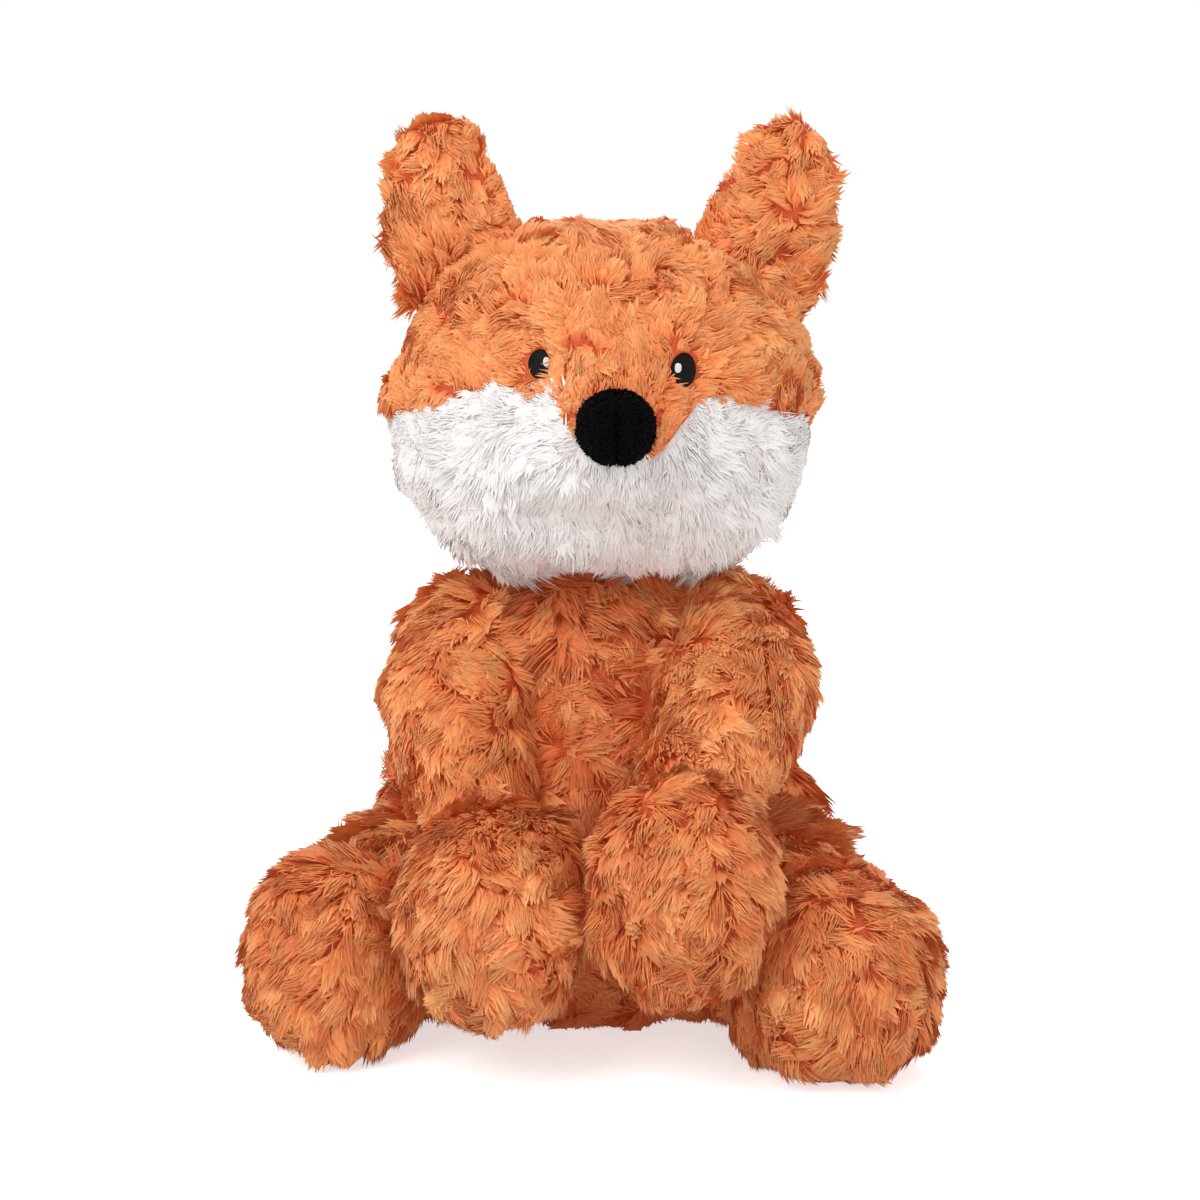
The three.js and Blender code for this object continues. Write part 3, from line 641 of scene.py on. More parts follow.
def furred_piece(name: str, skin: Surface, locks: Locks, material: bpy.types.Material) -> bpy.types.Object:
    """One piece of a skin and the locks rooted on it, with the values that its finish reads.

    Args:
        name: The piece's name.
        skin: The closed cloth.
        locks: Its pile.
        material: Its finish.

    Returns:
        The new object.
    """
    count = len(skin.points)
    whole = Surface(
        np.concatenate([skin.points, locks.surface.points]),
        np.concatenate([skin.faces, locks.surface.faces + count]),
        np.concatenate([skin.corners, locks.surface.corners]),
    )
    values = {
        # The cloth under the locks reads a reach of -0.5, which gives it the darker cloth colour: painted
        # shade in the partings.
        "reach": np.concatenate([np.full(count, -0.5), locks.reach]),
        "strand": np.concatenate([np.full(count, 0.5), locks.strand]),
        "tuft": np.concatenate([np.full(count, 0.5), locks.tuft]),
    }
    normals = np.concatenate([skin.normals()[skin.faces].reshape(-1, 3), locks.normals])
    return make_piece(name, whole, material, values, normals, count)


def declare(piece: bpy.types.Object, body: str, node: str, slot: Slot) -> None:
    """Puts a piece on the body that it moves with, hides the frame node that it stands for and logs its
    faces.

    Args:
        piece: The object.
        body: The body that it moves with.
        node: The frame node that it replaces.
        slot: The record's slot of its finish. Not used.
    """
    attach(piece, body)
    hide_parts(node)
    log.info("%s: %d faces on %s", piece.name, len(piece.data.polygons), body)


def linear(red: float, green: float, blue: float) -> tuple[float, float, float, float]:
    """A shader colour from the three numbers, out of 255, that a screen shows for it."""
    shown = np.array([red, green, blue]) / 255
    level = np.where(shown <= 0.04045, shown / 12.92, ((shown + 0.055) / 1.055) ** 2.4)
    return (*level.tolist(), 1.0)


class Nodes:
    """A short way to place and join the nodes of a tree."""

    def __init__(self, tree: bpy.types.NodeTree) -> None:
        """Keeps the tree that the nodes go into."""
        self.tree = tree

    def add(self, kind: str, **settings: object) -> bpy.types.Node:
        """A new node of a kind, with its own settings such as an operation."""
        node = self.tree.nodes.new(kind)
        for label, value in settings.items():
            setattr(node, label, value)
        return node

    def feed(self, socket: Socket, value: object) -> None:
        """Joins a socket to another one, or sets it to a plain value."""
        if isinstance(value, Socket):
            self.tree.links.new(value, socket)
        else:
            socket.default_value = value

    def maths(self, operation: str, *values: object, clamp: bool = False) -> Socket:
        """The result of a Math node on sockets or numbers."""
        node = self.add("ShaderNodeMath", operation=operation, use_clamp=clamp)
        for socket, value in zip(node.inputs, values):
            self.feed(socket, value)
        return node.outputs[0]

    def mix(self, factor: object, first: object, second: object, blend: str = "MIX") -> Socket:
        """Two colours mixed by a factor, in a blend mode."""
        node = self.add("ShaderNodeMix", data_type="RGBA", blend_type=blend)
        self.feed(node.inputs[0], factor)
        self.feed(node.inputs[6], first)
        self.feed(node.inputs[7], second)
        return node.outputs[2]

    def noise(self, place: object, scale: float, detail: float = 2.0) -> Socket:
        """Noise of a scale at a place, as one number from about 0 to 1."""
        node = self.add("ShaderNodeTexNoise")
        self.feed(node.inputs["Vector"], place)
        node.inputs["Scale"].default_value = scale
        node.inputs["Detail"].default_value = detail
        return node.outputs["Fac"]

    def stretched(self, place: object, scale: Triple) -> Socket:
        """A place with its axes scaled, so that a pattern on it is drawn out."""
        node = self.add("ShaderNodeMapping")
        self.feed(node.inputs["Vector"], place)
        node.inputs["Scale"].default_value = scale
        return node.outputs["Vector"]

    def value_of(self, label: str) -> Socket:
        """One of the numbers that a piece's points carry."""
        return self.add("ShaderNodeAttribute", attribute_name=label).outputs["Fac"]

    def own_place(self) -> Socket:
        """The Object coordinates of the shaded point."""
        return self.add("ShaderNodeTexCoord").outputs["Object"]

    def seen(self) -> Socket:
        """One where the camera sees a surface straight, mirrored or through something, else nothing."""
        light = self.add("ShaderNodeLightPath")
        seen = self.maths("MAXIMUM", light.outputs["Is Camera Ray"], light.outputs["Is Glossy Ray"])
        return self.maths("MAXIMUM", seen, light.outputs["Is Transmission Ray"])

    def bump(self, height: object, strength: float, distance: float) -> Socket:
        """A normal bent by a height."""
        node = self.add("ShaderNodeBump")
        node.inputs["Strength"].default_value = strength
        node.inputs["Distance"].default_value = distance
        self.feed(node.inputs["Height"], height)
        return node.outputs["Normal"]


def shader_group(name: str, takes: dict[str, str], gives: dict[str, str]) -> bpy.types.NodeTree:
    """An empty shader node group with named sockets.

    Args:
        name: The group's name.
        takes: Its inputs, each with its kind of socket.
        gives: Its outputs, each with its kind of socket.

    Returns:
        The group, with its input and output nodes in place.
    """
    group = bpy.data.node_groups.new(name, "ShaderNodeTree")
    for label, kind in takes.items():
        group.interface.new_socket(name=label, in_out="INPUT", socket_type=kind)
    for label, kind in gives.items():
        group.interface.new_socket(name=label, in_out="OUTPUT", socket_type=kind)
    group.nodes.new("NodeGroupInput")
    group.nodes.new("NodeGroupOutput")
    return group


@dataclass(frozen=True)
class Effects:
    """The two effects that several finishes share, as node groups."""

    uneven_dye: bpy.types.NodeTree
    fine_fibre: bpy.types.NodeTree

    @classmethod
    def build(cls) -> "Effects":
        """Makes both groups once."""
        return cls(cls._uneven_dye(), cls._fine_fibre())

    @staticmethod
    def _uneven_dye() -> bpy.types.NodeTree:
        """Colour that is a little lighter here and deeper there, from noise at two scales."""
        group = shader_group(
            "uneven_dye",
            {"Colour": "NodeSocketColor", "Deeper": "NodeSocketColor", "Amount": "NodeSocketFloat"},
            {"Colour": "NodeSocketColor"},
        )
        nodes = Nodes(group)
        inside, outside = group.nodes["Group Input"], group.nodes["Group Output"]
        place = nodes.own_place()
        broad, close = nodes.noise(place, 28.0), nodes.noise(place, 160.0)
        level = nodes.maths("MULTIPLY_ADD", close, 0.4, nodes.maths("MULTIPLY", broad, 0.6))
        level = nodes.maths("MULTIPLY_ADD", nodes.maths("SUBTRACT", level, 0.36), 3.4, 0.0, clamp=True)
        factor = nodes.maths("MULTIPLY", level, inside.outputs["Amount"])
        colour = nodes.mix(factor, inside.outputs["Colour"], inside.outputs["Deeper"])
        nodes.feed(outside.inputs["Colour"], colour)
        return group

    @staticmethod
    def _fine_fibre() -> bpy.types.NodeTree:
        """Fine lines along a drawn-out place, as a mask and a normal."""
        group = shader_group(
            "fine_fibre",
            {"Place": "NodeSocketVector", "Deepness": "NodeSocketFloat"},
            {"Mask": "NodeSocketFloat", "Normal": "NodeSocketVector"},
        )
        nodes = Nodes(group)
        inside, outside = group.nodes["Group Input"], group.nodes["Group Output"]
        mask = nodes.noise(inside.outputs["Place"], 1.0, 3.0)
        height = nodes.maths("MULTIPLY", mask, inside.outputs["Deepness"])
        nodes.feed(outside.inputs["Mask"], mask)
        nodes.feed(outside.inputs["Normal"], nodes.bump(height, 0.6, 0.0004))
        return group


def new_material(name: str) -> tuple[bpy.types.Material, Nodes, bpy.types.Node]:
    """A material with one Principled shader.

    Args:
        name: The material's name.

    Returns:
        The material, its nodes and the shader.
    """
    material = bpy.data.materials.new(name)
    material.use_nodes = True
    return material, Nodes(material.node_tree), material.node_tree.nodes["Principled BSDF"]


def with_fibre(
    nodes: Nodes, shader: bpy.types.Node, effects: Effects, scale: Triple, deepness: float,
    rough: tuple[float, float],
) -> Socket:
    """Gives a shader the fine fibre's roughness and normal.

    Args:
        nodes: The material's nodes.
        shader: Its shader.
        effects: The shared node groups.
        scale: Fibres for each metre along X, Y and Z.
        deepness: How strongly the fibre bends the normal.
        rough: The roughness without fibre and what the mask adds to it.

    Returns:
        The fibre's mask.
    """
    fibre = nodes.add("ShaderNodeGroup", node_tree=effects.fine_fibre)
    nodes.feed(fibre.inputs["Place"], nodes.stretched(nodes.own_place(), scale))
    fibre.inputs["Deepness"].default_value = deepness
    mask = fibre.outputs["Mask"]
    nodes.feed(shader.inputs["Roughness"], nodes.maths("MULTIPLY_ADD", mask, rough[1], rough[0]))
    nodes.feed(shader.inputs["Normal"], fibre.outputs["Normal"])
    return mask


@dataclass(frozen=True)
class PileFinish:
    """Pile coloured from deep at its roots through clear in the middle to pale at its tips: painted shade
    deep in the pile and painted light on the tips.
    """

    name: str
    # The cloth colour under the locks and the deep root colour are painted shade in the pile; the pale tip
    # colour is partly painted light.
    skin: Triple
    root: Triple
    middle: Triple
    tip: Triple
    deeper: Triple
    sheen_tint: Triple
    sheen: float = 0.3
    contrast: float = 1.0
    glow: float = 0.07
    fibres: Triple = (1500.0, 1500.0, 700.0)

    def build(self, effects: Effects) -> bpy.types.Material:
        """The material, which reads each lock's reach, strand and tuft.

        A faint glow of its own colour stands for the light that fine fibres pass on to each other.

        Args:
            effects: The shared node groups.

        Returns:
            The material.
        """
        material, nodes, shader = new_material(self.name)
        reach = nodes.value_of("reach")
        # Along each lock's reach the colour runs from the cloth under the locks through root and middle to
        # tip: painted shade low in the pile, painted light at the tips.
        low = nodes.maths("MULTIPLY_ADD", reach, 2.4, 0.0, clamp=True)
        high = nodes.maths("MULTIPLY_ADD", nodes.maths("SUBTRACT", reach, 0.45), 1.9, 0.0, clamp=True)
        under = nodes.maths("MULTIPLY", reach, -2.0, clamp=True)
        colour = nodes.mix(under, linear(*self.root), linear(*self.skin))
        colour = nodes.mix(low, colour, linear(*self.middle))
        colour = nodes.mix(high, colour, linear(*self.tip))
        dye = nodes.add("ShaderNodeGroup", node_tree=effects.uneven_dye)
        # Tufts whose value is lowered on body pieces are mixed towards the deeper colour: painted shade, by a
        # random amount for each tuft.
        painted_shade_share = nodes.maths("MULTIPLY", nodes.value_of("tuft"), -0.7, clamp=True)
        colour = nodes.mix(painted_shade_share, colour, linear(*self.deeper))
        nodes.feed(dye.inputs["Colour"], colour)
        nodes.feed(dye.inputs["Deeper"], nodes.mix(0.55, colour, linear(*self.deeper)))
        dye.inputs["Amount"].default_value = 0.6
        mask = with_fibre(nodes, shader, effects, self.fibres, 0.5, (0.5, 0.25))
        # Strand, tuft and fibre mask give each lock a random tone; the lowered tuft value of body pieces
        # darkens it further as painted shade.
        strand, tuft = nodes.value_of("strand"), nodes.value_of("tuft")
        shade = nodes.maths("MULTIPLY_ADD", strand, 0.24, nodes.maths("MULTIPLY", tuft, 0.1))
        shade = nodes.maths("MULTIPLY_ADD", mask, 0.34, shade)
        shade = nodes.maths("MULTIPLY_ADD", nodes.maths("SUBTRACT", shade, 0.36), self.contrast, 1.0)
        grey = nodes.add("ShaderNodeCombineColor")
        for socket in grey.inputs[:3]:
            nodes.feed(socket, shade)
        final = nodes.mix(1.0, dye.outputs["Colour"], grey.outputs[0], "MULTIPLY")
        nodes.feed(shader.inputs["Base Color"], final)
        nodes.feed(shader.inputs["Emission Color"], nodes.mix(0.5, final, linear(*self.root)))
        shader.inputs["Emission Strength"].default_value = self.glow
        shader.inputs["Specular IOR Level"].default_value = 0.32
        shader.inputs["Sheen Weight"].default_value = self.sheen
        shader.inputs["Sheen Roughness"].default_value = 0.4
        shader.inputs["Sheen Tint"].default_value = linear(*self.sheen_tint)
        return material


@dataclass(frozen=True)
class ThreadFinish:
    """Glossy embroidery thread, with fine fibre along it."""

    name: str
    colour: Triple
    deeper: Triple
    rough: float = 0.34
    stretch: Triple = (900.0, 2400.0, 9000.0)
    gloss: float = 0.5

    def build(self, effects: Effects) -> bpy.types.Material:
        """The material, whose fibres run across the stitches' short way."""
        material, nodes, shader = new_material(self.name)
        mask = with_fibre(nodes, shader, effects, self.stretch, 0.5, (self.rough - 0.1, 0.3))
        colour = nodes.mix(mask, linear(*self.colour), linear(*self.deeper))
        nodes.feed(shader.inputs["Base Color"], colour)
        shader.inputs["Specular IOR Level"].default_value = self.gloss
        return material


@dataclass(frozen=True)
class ClothFinish:
    """Plain cloth or loose fibre: a drifting colour and a fine, even grain."""

    name: str
    colour: Triple
    deeper: Triple
    grain: float = 1800.0
    rough: float = 0.9
    sheen: float = 0.2
    sheen_tint: Triple = (255, 255, 255)
    specular: float = 0.25

    def build(self, effects: Effects) -> bpy.types.Material:
        """The material."""
        material, nodes, shader = new_material(self.name)
        dye = nodes.add("ShaderNodeGroup", node_tree=effects.uneven_dye)
        dye.inputs["Colour"].default_value = linear(*self.colour)
        dye.inputs["Deeper"].default_value = linear(*self.deeper)
        dye.inputs["Amount"].default_value = 0.9
        nodes.feed(shader.inputs["Base Color"], dye.outputs["Colour"])
        with_fibre(nodes, shader, effects, (self.grain,) * 3, 1.0, (self.rough - 0.1, 0.2))
        shader.inputs["Specular IOR Level"].default_value = self.specular
        shader.inputs["Sheen Weight"].default_value = self.sheen
        shader.inputs["Sheen Roughness"].default_value = 0.35
        shader.inputs["Sheen Tint"].default_value = linear(*self.sheen_tint)
        return material


@dataclass(frozen=True)
class Finishes:
    """Every material of the toy, by slot."""

    by_slot: dict[Slot, bpy.types.Material]

    @classmethod
    def build(cls) -> "Finishes":
        """Makes the shared effects and then each finish."""
        effects = Effects.build()
        # In each pile finish the cloth, root, middle, tip, deeper and sheen tint colours follow in turn; the
        # darker cloth and roots are painted shade and the paler tips painted light.
        orange = PileFinish(
            "orange_pile", (190, 78, 38), (220, 94, 46), (234, 138, 76), (243, 180, 116), (224, 94, 42),
            (255, 200, 150),
        )
        white = PileFinish(
            "white_pile", (236, 226, 221), (238, 230, 226), (241, 237, 235), (243, 241, 240), (238, 231, 228),
            (255, 250, 247), contrast=0.2, glow=0.06,
        )
        finishes = {
            Slot.ORANGE: orange,
            Slot.WHITE: white,
            Slot.NOSE: ClothFinish(
                "black_nap", (3, 3, 4), (11, 11, 13), 2600.0, 0.72, 0.1, (120, 120, 130), 0.05
            ),
            Slot.BLACK_THREAD: ThreadFinish("black_stitch", (2, 2, 3), (8, 8, 9), 0.42, gloss=0.12),
            Slot.WHITE_THREAD: ThreadFinish("white_stitch", (236, 234, 232), (206, 204, 204)),
            Slot.ORANGE_THREAD: ThreadFinish("closing_stitch", (186, 92, 46), (150, 66, 30), 0.5),
            Slot.FILLING: ClothFinish("loose_fibre", (246, 244, 240), (228, 224, 216), 700.0, 0.95, 0.4),
            Slot.BEANS: ClothFinish("pellet_bag_cotton", (216, 208, 194), (196, 186, 168), 2400.0),
            Slot.BACKING: ClothFinish("stitch_backing", (228, 228, 226), (208, 208, 204), 1500.0),
        }
        return cls({slot: finish.build(effects) for slot, finish in finishes.items()})

    def of(self, slot: Slot) -> bpy.types.Material:
        """The material of a slot."""
        return self.by_slot[slot]


@dataclass(frozen=True)
class TorsoForm:
    """A pear that is widest low down and narrows to the neck."""

    width: float = 122 * MM
    depth: float = 102 * MM
    height: float = 163 * MM
    belly_forward: float = 5 * MM
    seat_cut: float = 0.5 * MM
    profile: Spline = Spline((
        (0, 0), (0.6, 0), (0.88, 0.07), (0.99, 0.2), (1, 0.35), (0.95, 0.5), (0.86, 0.65),
        (0.75, 0.79), (0.58, 0.91), (0.32, 0.98), (0, 1),
    ))

    def at(self, share: Floats, angle: Floats, grow: float) -> Floats:
        """Points of the pear: an oval ring, its half widths and its height from the profile.

        Args:
            share: From the lower pole, 0, to the upper, 1.
            angle: Round the ring, from +X towards +Y.
            grow: How far it is grown on every side.

        Returns:
            The points.
        """
        across, rise = self.profile.at(share)
        swell = np.where(across > 1e-9, grow, 0)
        x = (across * self.width / 2 + swell) * np.cos(angle)
        y = (across * self.depth / 2 + swell) * np.sin(angle) - np.sin(share * math.pi) * self.belly_forward
        z = rise * (self.height + self.seat_cut + 2 * grow) - self.seat_cut - grow
        return columns(x, y, z)

    def holds(self, points: Floats, grow: float) -> Bools:
        """Whether each point lies inside the pear, grown by some distance."""
        share = np.linspace(0, 1, 200)
        across, rise = self.profile.at(share)
        high = rise * (self.height + self.seat_cut) - self.seat_cut
        half = np.interp(points[:, 2], high, across, left=0, right=0)
        lean = np.interp(points[:, 2], high, np.sin(share * math.pi)) * self.belly_forward
        sideways = points[:, 0] / (half * self.width / 2 + grow)
        ahead = (points[:, 1] + lean) / (half * self.depth / 2 + grow)
        return (sideways**2 + ahead**2 < 1) & (half > 0)


@dataclass(frozen=True)
class HeadForm:
    """A wide rounded cushion with full cheeks and a muzzle that stands out in front."""

    width: float = 142 * MM
    depth: float = 116 * MM
    height: float = 117 * MM
    square: float = 0.84
    cheek_swell: float = 0.045
    cheek_low_turn: float = 0.5
    muzzle_reach: float = 17 * MM
    muzzle_half_width: float = 34 * MM
    muzzle_half_height: float = 30 * MM
    muzzle_drop: float = 9 * MM
    place: Place = Place(
        turned_about("Y", 3) @ turned_about("Z", 3), np.array([0, -10 * MM, 228 * MM])
    )

    @property
    def halves(self) -> Floats:
        """The half sizes along the head's own axes."""
        return np.array([self.width, self.depth, self.height]) / 2

    def muzzle(self, x: Floats, z: Floats) -> Floats:
        """How far the muzzle stands out at a place of the face: a bell over its middle."""
        across = x / self.muzzle_half_width
        up = (z + self.muzzle_drop) / self.muzzle_half_height
        return self.muzzle_reach * np.exp(-(across**2) - up**2)

    def at(self, share: Floats, angle: Floats, grow: float) -> Floats:
        """Points of the head in its own axes: a squared ball, swollen low down, with the muzzle.

        Args:
            share: From the lower pole, 0, to the upper, 1.
            angle: Round the ring, from +X towards +Y.
            grow: How far it is grown on every side.

        Returns:
            The points.
        """
        tilt = (share - 0.5) * math.pi
        points = squared_ball(self.halves + grow, self.square, share, angle)
        points[..., 0] *= 1 + self.cheek_swell * np.cos(tilt * 2 + self.cheek_low_turn)
        front = np.maximum(-np.sin(angle), 0) * np.cos(tilt)
        points[..., 1] -= self.muzzle(points[..., 0], points[..., 2]) * front
        return points

    def front_at(self, x: Floats, z: Floats, grow: float) -> Floats:
        """Y of the face at places in front, found by undoing the squared ball's powers.

        Args:
            x: Sideways, in the head's own axes.
            z: Upwards, in the head's own axes.
            grow: How far it is grown on every side.

        Returns:
            Y of the surface, in the head's own axes.
        """
        power = 1 / self.square
        tilt = np.arcsin(np.clip(signed_power(z / (self.height / 2 + grow), power), -1, 1))
        ring = signed_power(np.cos(tilt), self.square)
        swell = 1 + self.cheek_swell * np.cos(tilt * 2 + self.cheek_low_turn)
        cosine = np.clip(signed_power(x / ((self.width / 2 + grow) * ring * swell), power), -1, 1)
        sine = np.sqrt(1 - cosine**2)
        front = sine * np.cos(tilt)
        return -(self.depth / 2 + grow) * ring * sine**self.square - self.muzzle(x, z) * front


@dataclass(frozen=True)
class BallForm:
    """A rounded ball in its own place, for a paw or a foot."""

    width: float
    depth: float
    height: float
    place: Place
    square: float = 0.94

    @property
    def halves(self) -> Floats:
        """The half sizes along the ball's own axes."""
        return np.array([self.width, self.depth, self.height]) / 2

    def at(self, share: Floats, angle: Floats, grow: float) -> Floats:
        """Points of the ball, grown on every side, in the toy's axes."""
        return self.place.out(squared_ball(self.halves + grow, self.square, share, angle))

    def holds(self, points: Floats, grow: float) -> Bools:
        """Whether each point lies inside the ball, grown by some distance."""
        return self.level(points, grow) < 1

    def level(self, points: Floats, grow: float) -> Floats:
        """How far out each point lies: 1 on the ball's face, grown by some distance."""
        power = 2 / self.square
        shares = np.abs(self.place.back(points) / (self.halves + grow))
        return (shares**power).sum(axis=1) ** (1 / power)

    def pushed_out(self, points: Floats, grow: float) -> Floats:
        """The points, those inside the ball moved straight out from its middle to its grown face."""
        level = np.clip(self.level(points, grow), 0.05, 1)[:, None]
        return self.place.out(self.place.back(points) / level)

    def drawn_in(self, points: Floats, grow: float) -> Floats:
        """The points, those outside the ball moved straight towards its middle to its grown face."""
        level = np.maximum(self.level(points, grow), 1)[:, None]
        return self.place.out(self.place.back(points) / level)


@dataclass(frozen=True)
class LimbForm:
    """A stuffed tube with round ends along a curve with a bow, thinner at its far end."""

    start: Floats
    bow: Floats
    end: Floats
    start_radius: float
    end_radius: float
    fall: int = 1
    swell: float = 0.0
    cap_share: float = 0.24

    def centre(self, way: Floats) -> Floats:
        """Points of the middle line: a quadratic curve from start to end, drawn to the bow."""
        way = way[..., None]
        return (1 - way) ** 2 * self.start + 2 * way * (1 - way) * self.bow + way**2 * self.end

    def heading(self, way: Floats) -> Floats:
        """Directions of the middle line."""
        way = way[..., None]
        return unit((1 - way) * (self.bow - self.start) + way * (self.end - self.bow))

    def radius(self, way: Floats) -> Floats:
        """The tube's radius: it falls with a power of the way and swells in the middle."""
        taper = self.start_radius + (self.end_radius - self.start_radius) * way**self.fall
        return taper * (1 + self.swell * np.sin(way * math.pi))

    def at(self, share: Floats, angle: Floats, grow: float) -> Floats:
        """Points of the tube: rings about the middle line, which close to a pole at each round end.

        Args:
            share: From the start's pole, 0, to the end's, 1. Each cap takes its own share.
            angle: Round the ring, from the side towards the top.
            grow: How far it is grown on every side.

        Returns:
            The points.
        """
        opening = np.clip(share / self.cap_share, 0, 1) * math.pi / 2
        closing = np.clip((share - 1 + self.cap_share) / self.cap_share, 0, 1) * math.pi / 2
        way = np.clip((share - self.cap_share) / (1 - 2 * self.cap_share), 0, 1)
        radius = self.radius(way) + grow
        along = (np.sin(closing) - np.cos(opening)) * radius
        across = np.sin(opening) * np.cos(closing) * radius
        heading = self.heading(way)
        side = unit(np.cross([0.0, 0.0, 1.0], heading))
        top = np.cross(heading, side)
        ring = side * np.cos(angle)[..., None] + top * np.sin(angle)[..., None]
        return self.centre(way) + heading * along[..., None] + ring * across[..., None]

    def holds(self, points: Floats, grow: float) -> Bools:
        """Whether each point lies inside the tube, grown by some distance."""
        way = np.linspace(0, 1, 24)
        centres, radii = self.centre(way), self.radius(way) + grow
        apart = np.linalg.norm(points[:, None] - centres, axis=2)
        return (apart < radii).any(axis=1)

    def nearest_heading(self, points: Floats) -> Floats:
        """The middle line's direction where each point is nearest to it."""
        way = np.linspace(0, 1, 24)
        return self.heading(way)[nearest_of(points, self.centre(way))]


@dataclass(frozen=True)
class Dressing:
    """What every furred piece shares: its finishes, its cloth and how deep its seams lie.

    The cloth's outer face lies the sink's distance outside the frame's solid. At a seam a skin is
    left out where it lies inside its neighbour's form, grown by the seam's distance.
    """

    finishes: Finishes
    cloth: float = 2.4 * MM
    sink: float = 1.2 * MM
    lumps: Drift = Drift(27 * MM, 7)
    lump_height: float = 1.0 * MM
    seat_height: float = 0.25 * MM
    seam_in_body: float = 1.6 * MM
    seam_in_limb: float = 1.4 * MM
    least_trim: float = 0.05

    def skin(self, form: GrownForm, rows: int, sides: int) -> Surface:
        """A form as a closed, lumpy surface, grown to where the cloth's outer face lies."""
        return self.lumpy(closed_grid(rows, sides, lambda share, angle: form(share, angle, self.sink)))

    def lumpy(self, surface: Surface) -> Surface:
        """The form as stuffing fills it, with low lumps along its normals and a flat seat."""
        push = self.lumps.value(surface.points)[:, None] * self.lump_height
        points = surface.points + surface.normals() * push
        points[:, 2] = np.maximum(points[:, 2], self.seat_height)
        return surface.moved(points)

    def dress(
        self, body: str, node: str, slot: Slot, surface: Surface, keep: Bools, pile: Pile, flow: Flow,
        seed: int, fill: float = 0.6, trim: Callable[[Floats], Floats] | None = None,
    ) -> None:
        """Args:
            body: The body that it moves with.
            node: The frame node that it replaces and is named after.
            slot: Its finish.
            surface: The whole form.
            keep: Which faces are this panel's.
            pile: How its pile grows.
            flow: The direction in which the pile lies.
            seed: Of its random draws.
            fill: How tightly it is stuffed. Not used.
            trim: Gives each root's share of the full size, 0 where no lock grows.
        """
        roots = scatter_roots(surface, keep, pile.spacing, np.random.default_rng(seed))
        share = np.ones(len(roots.points)) if trim is None else trim(roots.points)
        grown = share > self.least_trim
        locks = pile.grow(roots.chosen(grown), flow, seed, share[grown])
        skin = cloth_shell(surface, keep, self.cloth)
        name = f"{node.removesuffix('_skin')}_fur"
        declare(furred_piece(name, skin, locks, self.finishes.of(slot)), body, node, slot)


def steady(direction: Triple) -> Flow:
    """A flow in one direction everywhere."""
    vector = unit(np.array(direction, dtype=float))
    return lambda points, normals: np.broadcast_to(vector, points.shape)


